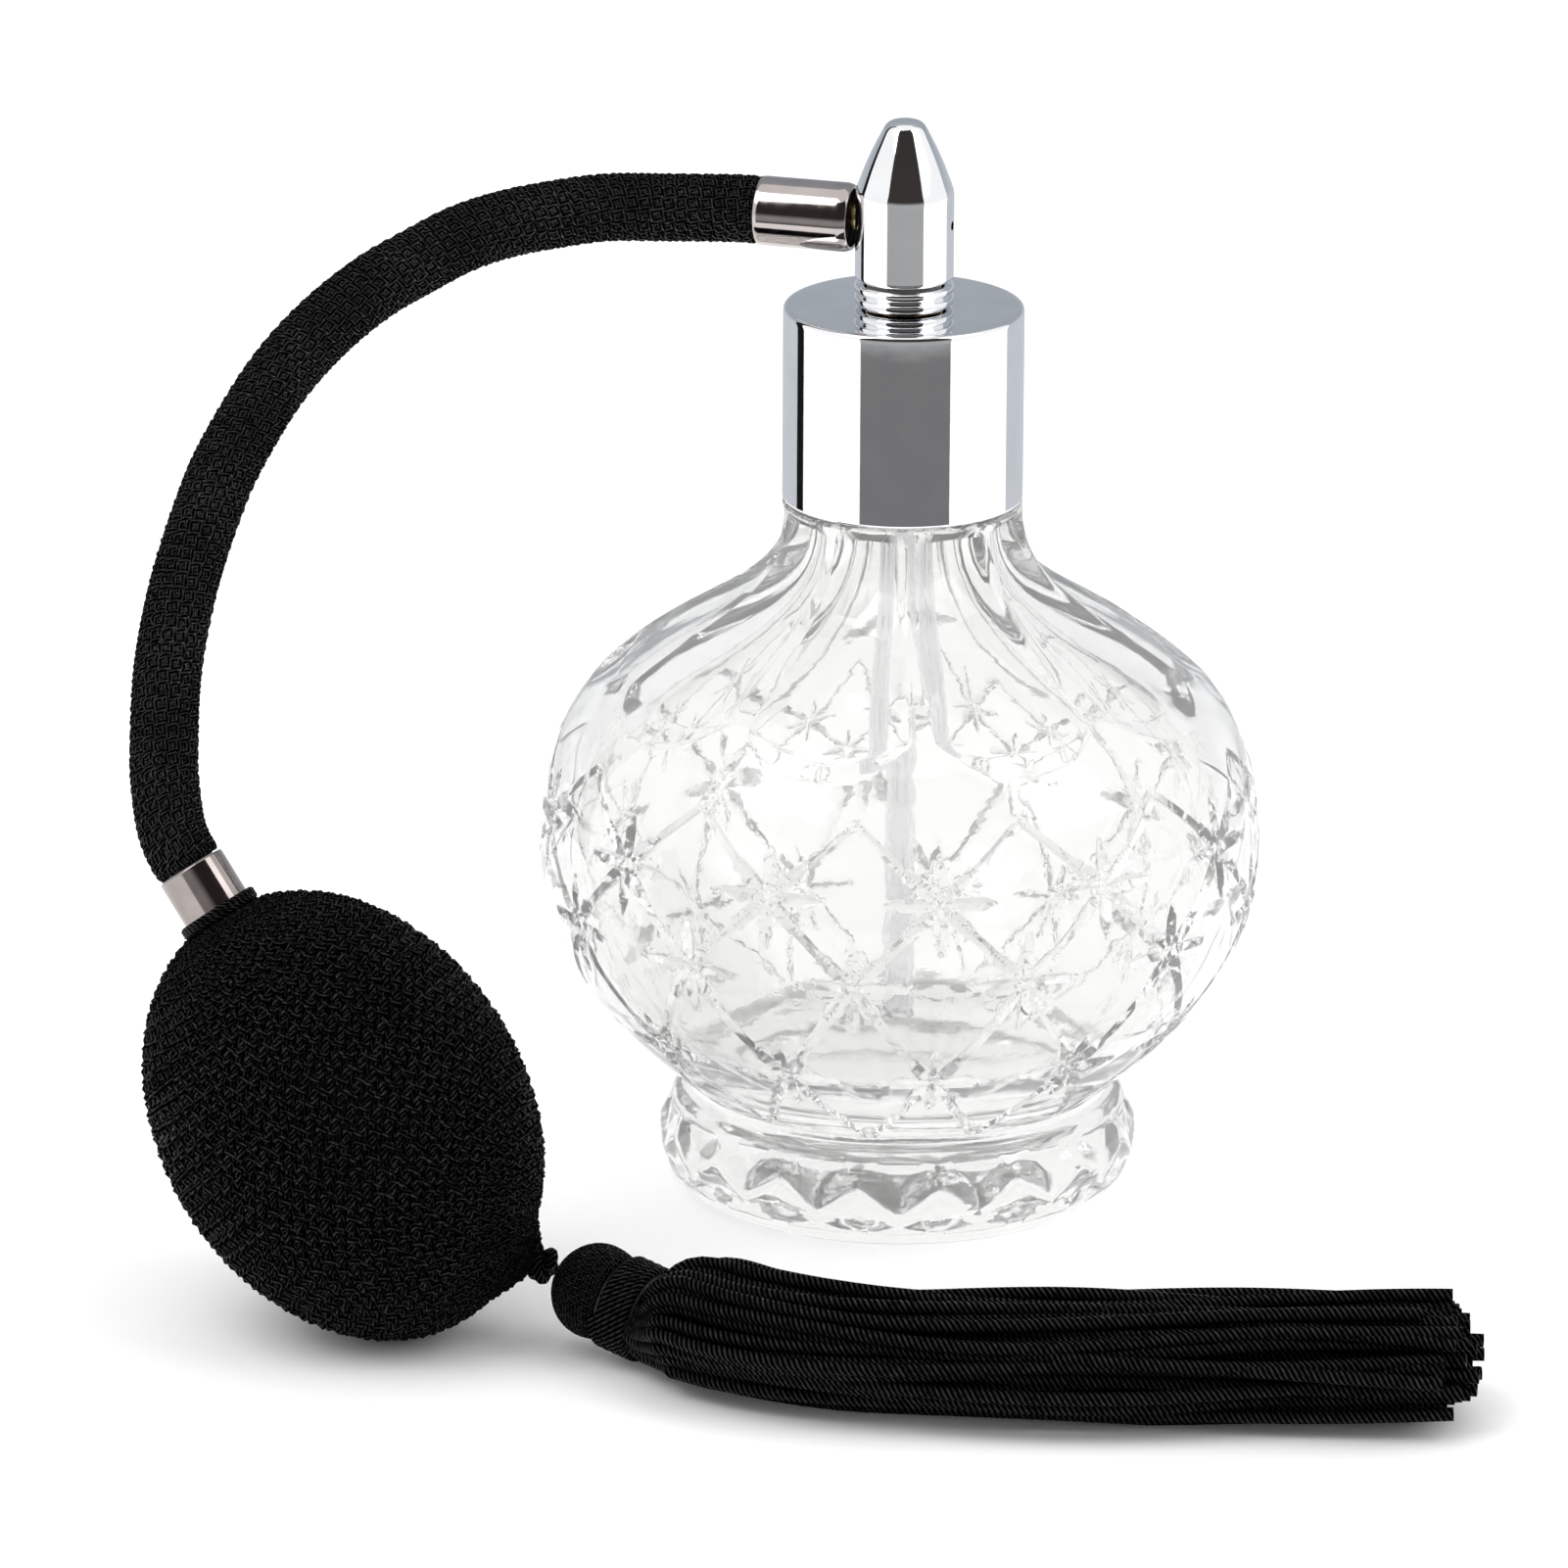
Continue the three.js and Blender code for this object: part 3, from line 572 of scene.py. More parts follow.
# how far the cuts go into the glass, in mm, at each angle (degrees) and run along the outline
def cutDepth(outline, angle, run, sizes):
    radius, height = outline.at(run)
    half = 180 / sizes["stars"]
    u = (angle - sizes["firstStar"]) / half
    levels = [outline.runAt(level) for level in sizes["starLevels"]]
    first, last = levels[1] - levels[0], levels[3] - levels[2]
    runs = [levels[0] - 2 * first, *levels, levels[3] + 2 * last]
    v = np.interp(run, runs, [-2, 0, 1, 2, 3, 5])
    width = sizes["lineCells"] / sizes["cells"]
    rising = np.abs(wrapped(u - v, 2))
    falling = np.abs(wrapped(u + v, 2))
    lines = np.clip(1 - np.minimum(rising, falling) / width, 0, 1) * sizes["lineDepth"]
    lines *= np.clip((3.02 - v) / 0.08, 0, 1) * np.clip((height - 12.6) / 0.9, 0, 1)
    depth = lines
    halfWidth = radius * math.radians(half)
    for row in range(3):
        across = wrapped(u - row % 2, 2) * halfWidth
        up = run - levels[row]
        above = levels[row + 1] - levels[row]
        below = levels[row] - levels[row - 1] if row else first
        for way in range(8):
            # the slanting spokes point at the lattice's next crossings
            reach = above if way < 4 else below
            lean = math.radians(45 * way) if way % 2 == 0 else np.arctan2(reach, halfWidth)
            if way in (3, 5):
                lean = math.pi - lean
            if way in (5, 7):
                lean = -lean
            ahead = across * np.cos(lean) + up * np.sin(lean)
            aside = up * np.cos(lean) - across * np.sin(lean)
            length = sizes["spokeUp"] if way in (2, 6) else sizes["spokeAcross"]
            t = np.clip(ahead / length, 0, 1)
            leaf = sizes["spokeWidth"] * np.sin(np.pi * t ** 0.8) ** 0.7
            spoke = (leaf - np.abs(aside)) * sizes["spokeSlope"]
            depth = np.maximum(depth, np.where((t > 0) & (t < 1), spoke, 0))
    fluteTurn = 360 / sizes["flutes"]
    phi = wrapped(angle - sizes["firstRidge"] - fluteTurn / 2, fluteTurn) / sizes["fluteHalf"]
    bowl = np.clip(1 - phi ** 2, 0, 1)
    foot = sizes["fluteFoot"] + sizes["fluteRise"] * phi ** 2
    scoop = np.minimum(sizes["fluteDepth"] * bowl ** 0.8, np.clip((height - foot) * 0.5, 0, 9))
    scoop *= np.clip((77.0 - height) / 0.8, 0, 1) * (np.abs(phi) < 1)
    depth = np.maximum(depth, scoop)
    facet = np.abs(wrapped(angle, 360 / sizes["footFacets"])) * sizes["footFacets"] / 180
    middle = 4.2 + 3.4 * facet
    ridge = np.clip(1 - np.abs(height - middle) / 3.4, 0, 1)
    under = np.clip((height - 2.8) / 0.9, 0, 1) * np.clip((10.4 - height) / 0.8, 0, 1)
    depth = np.maximum(depth, sizes["footDepth"] * (1 - ridge) * under)
    return depth


def plainRing(radius, height, angles):
    count = len(angles)
    return np.full(count, radius), np.full(count, height), angles, np.zeros(count)


def bottleGrid(sizes):
    outline = Outline(bottleOutline())
    fine = sizes["cells"] * 2 * sizes["stars"]
    coarse = fine // 3
    levels = [outline.runAt(level) for level in (14.0, *sizes["starLevels"], 62.0)]
    footRuns = np.linspace(0, outline.runAt(12.4), 26)
    bellyRuns = [np.linspace(outline.runAt(12.4), levels[0], 5)[:-1]]
    for low, high in zip(levels[:-1], levels[1:]):
        bellyRuns.append(np.linspace(low, high, sizes["cells"] + 1)[:-1])
    bellyRuns = np.concatenate([*bellyRuns, [levels[-1]]])
    neckRuns = np.linspace(levels[-1], outline.run[-1], 20)
    zones = [(footRuns[:-1], coarse), (bellyRuns, fine), (neckRuns[1:], coarse)]
    rings = []
    for runs, columns in zones:
        angles = sizes["firstStar"] + np.arange(columns) * 360 / columns
        for run in runs:
            radius, height = outline.at(run)
            ahead, behind = outline.at(run + 0.3), outline.at(run - 0.3)
            slope = math.atan2(ahead[1] - behind[1], ahead[0] - behind[0])
            depth = cutDepth(outline, angles, np.full(columns, run), sizes)
            inward, upward = depth * math.sin(slope), depth * math.cos(slope)
            rings.append((radius - inward, height + upward, angles, depth))
    angles = sizes["firstStar"] + np.arange(coarse) * 360 / coarse
    for radius, height in ((12.5, 77.2), (10.0, 77.2)):
        rings.append(plainRing(radius, height, angles))
    for height in np.linspace(77.6, 91.6, 30):
        turn = wrapped((height - 79.2) / sizes["threadPitch"] * 360 - angles, 360)
        crest = np.clip(1.35 - np.abs(turn) / 180 * 2.6, 0, 1) * sizes["threadHeight"]
        crest *= np.clip((height - 79.0) / 0.8, 0, 1) * np.clip((89.6 - height) / 1.2, 0, 1)
        rings.append((10.0 + crest, np.full(coarse, height), angles, crest))
    for radius, height in ((9.85, 91.88), (9.6, 92.0), (7.1, 92.0), (6.88, 91.88)):
        rings.append(plainRing(radius, height, angles))
    inside = Outline(bottleInside()[::-1])
    insideColumns = coarse // 2
    angles = sizes["firstStar"] + np.arange(insideColumns) * 360 / insideColumns
    for run in np.linspace(inside.run[-1], 0, 44):
        radius, height = inside.at(run)
        rings.append(plainRing(radius, height, angles))
    for radius in (9.0, 4.0):
        rings.append(plainRing(radius, 16.5, angles))
    return rings


def glassBottle(sizes):
    rings = bottleGrid(sizes)
    angles = rings[0][2]
    under = [plainRing(radius, height, angles)
             for radius, height in ((4.0, 1.5), (10.0, 1.3), (15.0, 0.9), (18.6, 0.25), (20.6, 0.0))]
    rings = under + rings
    points = []
    depths = []
    starts = []
    for radius, height, angles, depth in rings:
        depths += list(depth)
        starts.append(len(points))
        turn = np.radians(angles - 90)
        heights = np.broadcast_to(height, turn.shape)
        points += list(zip(radius * np.cos(turn) * mm, radius * np.sin(turn) * mm, heights * mm))
    faces = []
    for j in range(len(rings) - 1):
        low, high = starts[j], starts[j + 1]
        lowCount, highCount = len(rings[j][2]), len(rings[j + 1][2])
        count = min(lowCount, highCount)
        lowStep, highStep = lowCount // count, highCount // count
        for i in range(count):
            bottom = [low + (i * lowStep + k) % lowCount for k in range(lowStep + 1)]
            top = [high + (i * highStep + k) % highCount for k in range(highStep + 1)]
            loop = bottom + top[::-1]
            if len(loop) != 4:
                faces.append(loop)
                continue
            a, b, c, d = loop
            rising = alongCut(depths[a], depths[b], depths[c], depths[d])
            faces += [(a, b, c), (a, c, d)] if rising else [(a, b, d), (b, c, d)]
    faces.append([starts[0] + k for k in range(len(rings[0][2]))][::-1])
    faces.append([starts[-1] + k for k in range(len(rings[-1][2]))])
    mesh = meshFrom("glassBottle", points, faces)
    faceOutwards(mesh)
    return mesh


# an edge follows a cut: its two ends lie at the same depth, and the deeper pair wins a tie
def alongCut(a, b, c, d):
    change = abs(a - c) - abs(b - d)
    if abs(change) > 0.02:
        return change < 0
    return a + c >= b + d


bottle = keepPiece("cutGlassBottle", glassBottle(bottleSizes), finishes["glass"], "bottle", crease=22)
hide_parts("glass_bottle")
bottle.visible_shadow = False
print("bottle cut", len(bottle.data.polygons), "faces")


# ---- closure: washer, plug, stem, dip tube, collar --------------------------------------

closureSizes = {
    "collarWall": 0.5,
    "collarHole": 4.5,
    "collarRim": 0.12,
    "linerHole": 4.5,
    "linerWall": 1.1,
    "plugRadius": 6.5,
    "plugBore": 1.9,
    "stemBore": 0.9,
    "tubeBore": 0.9,
}


def nodeSize(node):
    low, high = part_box(node)
    return max(high[0] - low[0], high[1] - low[1]) / 2 / mm, low[2] / mm, high[2] / mm


def closurePiece(name, node, corners, finish, body, sides=96, crease=30):
    mesh = turned(name, rounded(corners), sides)
    piece = keepPiece(name, mesh, finishes[finish], body, crease)
    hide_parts(node)
    return piece


def collarCorners(sizes):
    radius, low, high = nodeSize("collar_shell")
    outer = radius - sizes["collarRim"]
    return [
        (outer - sizes["collarWall"], low, 0.1), (outer, low, 0.35),
        (outer, high, 0.55), (sizes["collarHole"], high, 0.15),
        (sizes["collarHole"], high - sizes["collarWall"], 0.1),
        (outer - sizes["collarWall"], high - sizes["collarWall"], 0.3),
    ]


def linerCorners(sizes):
    radius, low, high = nodeSize("collar_liner")
    inner = radius - sizes["linerWall"]
    corners = [(radius, low, 0.2), (radius, high, 0.2), (sizes["linerHole"], high, 0.1),
               (sizes["linerHole"], high - 2.1, 0.1), (inner, high - 2.1, 0.2)]
    turns = int((high - low - 5) / 3)
    for turn in range(turns):
        level = high - 4.4 - 3 * turn
        corners += [(inner, level, 0.1), (inner - 0.18, level - 0.4, 0.1),
                    (inner - 0.18, level - 0.9, 0.1), (inner, level - 1.3, 0.1)]
    corners.append((inner, low, 0.2))
    return corners


def plugCorners(sizes):
    radius, low, high = nodeSize("neck_plug")
    plug, bore = sizes["plugRadius"], sizes["plugBore"]
    return [(bore, low, 0.1), (plug - 0.5, low, 0.2), (plug, low + 1.2, 0.3), (plug, high - 1.6, 0.1),
            (radius, high - 1.6, 0.25), (radius, high, 0.25), (bore, high, 0.2)]


def washerCorners():
    radius, low, high = nodeSize("neck_washer")
    return [(6.8, low, 0.2), (radius, low, 0.3), (radius, high, 0.3), (6.8, high, 0.2)]


def stemCorners(sizes):
    radius, low, high = nodeSize("swivel_stem")
    return [(sizes["stemBore"], low, 0.1), (radius, low, 0.2), (radius, low + 2.8, 0.4),
            (2.6, low + 2.8, 0.2), (2.6, high, 0.3), (sizes["stemBore"], high, 0.1)]


def tubeCorners(sizes):
    radius, low, high = nodeSize("dip_tube")
    return [(sizes["tubeBore"], low, 0.1), (radius, low, 0.15), (radius, high, 0.15),
            (sizes["tubeBore"], high, 0.1)]


closurePiece("collar", "collar_shell", collarCorners(closureSizes), "chrome", "collar", 160)
closurePiece("collarLiner", "collar_liner", linerCorners(closureSizes), "whitePlastic", "collar")
closurePiece("neckPlug", "neck_plug", plugCorners(closureSizes), "whitePlastic", "sprayer")
closurePiece("neckWasher", "neck_washer", washerCorners(), "rubber", "washer")
closurePiece("swivelStem", "swivel_stem", stemCorners(closureSizes), "brass", "sprayer")
closurePiece("dipTube", "dip_tube", tubeCorners(closureSizes), "clearPlastic", "sprayer", 48)
print("closure turned")


# ---- spray head -------------------------------------------------------------------------

headSizes = {
    "sides": 128,
    "ribs": 2,
    "ribPitch": 1.25,
    "ribRoot": 4.95,
    "ringBore": 2.9,
    "headBore": 4.4,
    "boreTop": 112.5,
    "noseFoot": 111.5,
    "noseBulge": (3.9, 115.3),
    "noseTip": 1.9,
    "ferrule": (3.75, 3.35, 5.6, 15.9),    # outer, inner, start and end along the hose
    "bulbFerrule": (3.75, 3.35, 24.6, 30.7),
    "nozzle": (1.4, 0.55, 3.6, 5.1),
    "sprayHole": 0.5,
}


def ringCorners(sizes):
    radius, low, high = nodeSize("head_ribbed_ring")
    corners = [(sizes["ringBore"], low - 0.06, 0), (sizes["ribRoot"], low - 0.06, 0)]
    for rib in range(sizes["ribs"]):
        foot = low + rib * sizes["ribPitch"]
        corners += [(sizes["ribRoot"], foot, 0.05), (radius, foot + 0.2, 0.25), (radius, foot + 0.85, 0.25),
                    (sizes["ribRoot"], foot + 1.1, 0.05)]
    corners.append((sizes["ringBore"], high, 0.05))
    return corners


def headCorners(sizes):
    radius, low, high = nodeSize("head_shell")
    level, around = passage.z, sizes["sprayHole"] + 0.25
    return [(sizes["headBore"], low, 0.1), (radius, low, 0.35), (radius, level - around, 0),
            (radius, level + around, 0), (radius, sizes["noseFoot"], 0.6), (*sizes["noseBulge"], 3.0),
            (sizes["noseTip"], high, 1.5), (0, high, 0), (0, sizes["boreTop"], 0),
            (sizes["headBore"], sizes["boreTop"], 0.3)]


def turnedAlong(name, corners, finish, body, origin, axis, sides=72, crease=30, steps=5):
    mesh = turned(name, rounded(corners, steps), sides, Vector(origin) * mm, axis)
    return keepPiece(name, mesh, finishes[finish], body, crease)


# a drawn cup with an open mouth: its end at the head turns in over a round lip
def ferruleCorners(outer, inner, start, end):
    return [(inner - 0.25, start + 0.1, 0.15), (outer - 0.3, start, 0.3), (outer, start + 0.7, 0.5),
            (outer, end - 0.35, 0.3), (outer - 0.05, end, 0.12), (inner, end, 0.08),
            (inner, start + 0.7, 0.3)]


# the hose's end, set back inside the ferrule's mouth
def hoseEndCorners(inner, start):
    outer = inner - 0.03
    return [(1.65, start, 0.1), (outer, start, 0.3), (outer, start + 1.2, 0.1), (1.65, start + 1.2, 0.1)]


def plainFerrule(outer, inner, start, end):
    return [(inner, start, 0.05), (outer + 0.22, start, 0.2), (outer + 0.22, start + 0.45, 0.2),
            (outer, start + 0.75, 0.2), (outer, end - 0.1, 0.2), (inner, end, 0.1)]


# the shell with the small hole that the spray leaves by
def drilledShell(sizes):
    shell = bpy.data.objects.new("shell", turned("shell", rounded(headCorners(sizes)), sizes["sides"]))
    bore = [(0, 4.0), (sizes["sprayHole"], 4.0), (sizes["sprayHole"], 7.0), (0, 7.0)]
    drill = bpy.data.objects.new("drill", turned("drill", bore, 24, passage * mm, -hoseAxis))
    for item in (shell, drill):
        bpy.context.scene.collection.objects.link(item)
    cut = shell.modifiers.new("cut", "BOOLEAN")
    cut.operation = "DIFFERENCE"
    cut.solver = "EXACT"
    cut.object = drill
    bpy.context.view_layer.update()
    evaluated = shell.evaluated_get(bpy.context.evaluated_depsgraph_get())
    mesh = bpy.data.meshes.new_from_object(evaluated)
    mesh.name = "headShell"
    bpy.data.objects.remove(shell)
    bpy.data.objects.remove(drill)
    return mesh


closurePiece("ribbedRing", "head_ribbed_ring", ringCorners(headSizes), "chrome", "head", 128, 40)
shell = keepPiece("headShell", drilledShell(headSizes), finishes["chrome"], "head", 24)
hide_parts("head_shell")
ferrule = turnedAlong("headFerrule", ferruleCorners(*headSizes["ferrule"]), "warmChrome", "head",
                      passage, hoseAxis)
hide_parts("head_ferrule")
hoseEnd = turnedAlong("hoseEnd", hoseEndCorners(headSizes["ferrule"][1], headSizes["ferrule"][2] + 1.1),
                      "rubber", "head", passage, hoseAxis)
# the bulb ferrule takes the darker copy of warmChrome, painted shade for its dark reflection
cup = turnedAlong("bulbFerrule", plainFerrule(*headSizes["bulbFerrule"]), "paintedShadeChrome", "head",
                  bulbCentre, bulbUp)
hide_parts("bulb_ferrule")


def nozzleCorners(outer, hole, start, end):
    return [(hole, start, 0), (outer, start, 0), (outer, end, 0.25), (hole, end, 0.05)]


nozzle = turnedAlong("nozzleTip", nozzleCorners(*headSizes["nozzle"]), "brass", "head",
                     passage, -hoseAxis, 40)
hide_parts("nozzle_tip")
print("spray head turned")


# ---- squeeze bulb: rubber under a knitted net -------------------------------------------

bulbSizes = {
    "radius": 19.4,
    "halfLength": 25.2,
    "netSink": 0.55,         # the yarn's middle lies this far inside the net's outside
    "stitches": 58,
    "rows": 40,
    "points": 8,             # in one stitch
    "reach": 0.84,           # how far a loop goes into the next row, in rows
    "lean": 0.17,
    "lift": 0.24,
    "yarnRadius": 0.48,
    "uneven": 0.14,          # of the yarn's own thickness
    "topAngle": 78.5,        # degrees, at the ferrule
    "lowAngle": -86.0,
    "lobe": 1.7,             # the net is drawn out at the knot
    "rubberRadius": 18.3,
    "rubberHalf": 24.1,
    "rubberWall": 1.8,
    "mouth": 3.2,
}

knotCentre = Vector(joints["tassel_lift"]["pos_m"]) / mm
knotWay = (knotCentre - bulbCentre).normalized()
netSide = (knotWay + bulbUp * -knotWay.dot(bulbUp)).normalized()
netOther = bulbUp.cross(netSide)
knotLean = math.acos(max(-1, min(1, -knotWay.dot(bulbUp))))


def knittedNet(sizes):
    pattern = Pattern("knittedNet", {
        "Radius": (sizes["radius"] - sizes["netSink"]) * mm,
        "Half Length": (sizes["halfLength"] - sizes["netSink"]) * mm,
        "Stitches": float(sizes["stitches"]),
        "Rows": float(sizes["rows"]),
        "Points": sizes["points"],
        "Yarn Radius": sizes["yarnRadius"] * mm,
        "Centre": bulbCentre * mm,
        "Up": bulbUp,
        "Side": netSide,
        "Other Side": netOther,
        "Finish": finishes["thread"],
    })
    size, calc = pattern.size, pattern.calc
    perRow = calc("MULTIPLY", size("Stitches"), size("Points"))
    total = calc("ADD", calc("MULTIPLY", perRow, size("Rows")), 1)
    line = pattern.node("GeometryNodeCurvePrimitiveLine")
    fine = pattern.node("GeometryNodeResampleCurve", {"Curve": line.outputs[0], "Count": total})
    index = pattern.node("GeometryNodeInputIndex").outputs[0]
    row = calc("DIVIDE", index, perRow)
    stitch = calc("MULTIPLY", calc("DIVIDE", index, size("Points")), 2 * math.pi)
    lean = calc("MULTIPLY", calc("SINE", calc("MULTIPLY", stitch, 2)), sizes["lean"] * 2 * math.pi)
    around = calc("ADD", calc("MULTIPLY", row, 2 * math.pi), calc("DIVIDE", lean, size("Stitches")))
    level = calc("ADD", row, calc("MULTIPLY", calc("COSINE", stitch), sizes["reach"]))
    share = calc("DIVIDE", level, size("Rows"))
    share = calc("MINIMUM", calc("MAXIMUM", share, 0), 1)
    top, low = math.radians(sizes["topAngle"]), math.radians(sizes["lowAngle"])
    angle = calc("ADD", top, calc("MULTIPLY", share, low - top))
    flat = calc("MULTIPLY", calc("COSINE", angle), size("Radius"))
    x = calc("MULTIPLY", flat, calc("COSINE", around))
    y = calc("MULTIPLY", flat, calc("SINE", around))
    z = calc("MULTIPLY", calc("SINE", angle), size("Half Length"))
    # the lower pole leans towards the knot
    bend = calc("MULTIPLY", calc("POWER", share, 1.6), knotLean)
    level, plumb = calc("COSINE", bend), calc("SINE", bend)
    bentX = calc("SUBTRACT", calc("MULTIPLY", x, level), calc("MULTIPLY", z, plumb))
    bentZ = calc("ADD", calc("MULTIPLY", x, plumb), calc("MULTIPLY", z, level))
    bent = pattern.node("ShaderNodeCombineXYZ", {"X": bentX, "Y": y, "Z": bentZ}).outputs[0]
    way = pattern.vector("NORMALIZE", bent)
    parts = pattern.node("ShaderNodeSeparateXYZ", {0: way})
    along = calc("DIVIDE", parts.outputs["Z"], size("Half Length"))
    aside = calc("SQRT", calc("SUBTRACT", 1, calc("POWER", parts.outputs["Z"], 2)))
    aside = calc("DIVIDE", aside, size("Radius"))
    reach = calc("DIVIDE", 1, calc("SQRT", calc("ADD", calc("POWER", along, 2), calc("POWER", aside, 2))))
    rise = calc("MULTIPLY", calc("COSINE", calc("MULTIPLY", stitch, 2)), sizes["lift"] * mm)
    near = calc("POWER", calc("MAXIMUM", calc("SUBTRACT", calc("MULTIPLY", share, 12), 11), 0), 1.5)
    reach = calc("ADD", calc("ADD", reach, rise), calc("MULTIPLY", near, sizes["lobe"] * mm))
    jitter = pattern.node("FunctionNodeRandomValue", {2: -sizes["uneven"], 3: sizes["uneven"], "ID": index,
                                                      "Seed": 5}, data_type="FLOAT").outputs[1]
    reach = calc("ADD", reach, calc("MULTIPLY", jitter, size("Yarn Radius")))
    final = pattern.scaled(way, reach)
    parts = pattern.node("ShaderNodeSeparateXYZ", {0: final})
    place = pattern.vector("ADD", size("Centre"), pattern.scaled(size("Side"), parts.outputs["X"]))
    place = pattern.vector("ADD", place, pattern.scaled(size("Other Side"), parts.outputs["Y"]))
    place = pattern.vector("ADD", place, pattern.scaled(size("Up"), parts.outputs["Z"]))
    moved = pattern.node("GeometryNodeSetPosition", {"Geometry": fine.outputs[0], "Position": place})
    thin = calc("MINIMUM", calc("MAXIMUM", calc("MULTIPLY", calc("COSINE", angle), 1.5), 0.42), 1)
    curve = pattern.keep(moved.outputs[0], "yarnThin", thin)
    read = pattern.node("GeometryNodeInputNamedAttribute", {"Name": "yarnThin"}, data_type="FLOAT")
    yarn = pattern.yarn(curve, size("Yarn Radius"), 4, 0.0008, read.outputs[0])
    return pattern.make("knittedNet", yarn, size("Finish"))


def eggOutline(radius, half, mouth, count):
    start = math.acos(mouth / radius)
    angles = [start - 2 * start * i / count for i in range(count + 1)]
    return [(radius * math.cos(angle), half * math.sin(angle)) for angle in angles]


def rubberOutline(sizes):
    radius, half, wall = sizes["rubberRadius"], sizes["rubberHalf"], sizes["rubberWall"]
    outside = eggOutline(radius, half, sizes["mouth"], 48)
    inside = eggOutline(radius - wall, half - wall, sizes["mouth"], 40)
    return outside + inside[::-1]


net = keepPiece("knittedNet", knittedNet(bulbSizes), finishes["thread"], "head")
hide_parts("bulb_net")
rubberMesh = turned("rubberBulb", rubberOutline(bulbSizes), 72, bulbCentre * mm, bulbUp)
rubber = keepPiece("rubberBulb", rubberMesh, finishes["rubber"], "head", 40)
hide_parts("rubber_bulb")
print("bulb knitted", len(net.data.polygons), "faces")


# ---- windings: net binding, knot, tassel head and band ----------------------------------

windingSizes = {
    "bindingRadius": 4.12,
    "bindingAt": 24.9,
    "bindingTurns": 3.2,
    "bindingPitch": 0.45,
    "bindingYarn": 0.40,
    "knotRing": 1.06,
    "knotRound": 0.62,
    "knotYarn": 0.54,
    "headStart": 2.4,
    "headEnd": 9.5,
    "headRadius": 5.1,
    "headThreads": 64,
    "headYarn": 0.30,
    "bandStart": 9.95,
    "bandEnd": 14.2,
    "bandRadius": 4.72,
    "bandTurns": 4.6,
    "bandYarn": 0.56,
}

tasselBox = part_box("tassel_head")
tasselCentre = (Vector(tasselBox[0]) + Vector(tasselBox[1])) / 2 / mm
tasselAlong = (tasselCentre - knotCentre).normalized()


# yarn that follows points worked out by a rule, in mm
def windYarn(name, points, radius, sides=6, pitch=0.6):
    pattern = Pattern(name, {"Yarn Radius": radius * mm, "Finish": finishes["thread"]})
    yarn = pattern.yarn(pattern.start.outputs[0], pattern.size("Yarn Radius"), sides, pitch * mm)
    curve = curveFrom(name, [point * mm for point in points])
    return pattern.make(name, yarn, pattern.size("Finish"), curve)


def coilPoints(centre, axis, radius, start, end, turns, count, wobble=0.0):
    side, other = sideways(axis)
    points = []
    for i in range(count + 1):
        t = i / count
        angle = 2 * math.pi * turns * t
        reach = radius + wobble * math.sin(7.3 * angle)
        across = side * math.cos(angle) + other * math.sin(angle)
        points.append(centre + across * reach + axis * (start + (end - start) * t))
    return points


def knotPoints(centre, axis, sizes, count=150):
    side, other = sideways(axis)
    points = []
    for i in range(count + 1):
        t = 2 * math.pi * i / count
        out = sizes["knotRing"] + sizes["knotRound"] * math.cos(3 * t)
        points.append(centre + side * out * math.cos(2 * t) + other * out * math.sin(2 * t)
                      + axis * sizes["knotRound"] * 1.25 * math.sin(3 * t))
    return points


def joined(name, meshes, material, body):
    work = bmesh.new()
    for mesh in meshes:
        work.from_mesh(mesh)
    whole = bpy.data.meshes.new(name)
    work.to_mesh(whole)
    work.free()
    return keepPiece(name, whole, material, body)


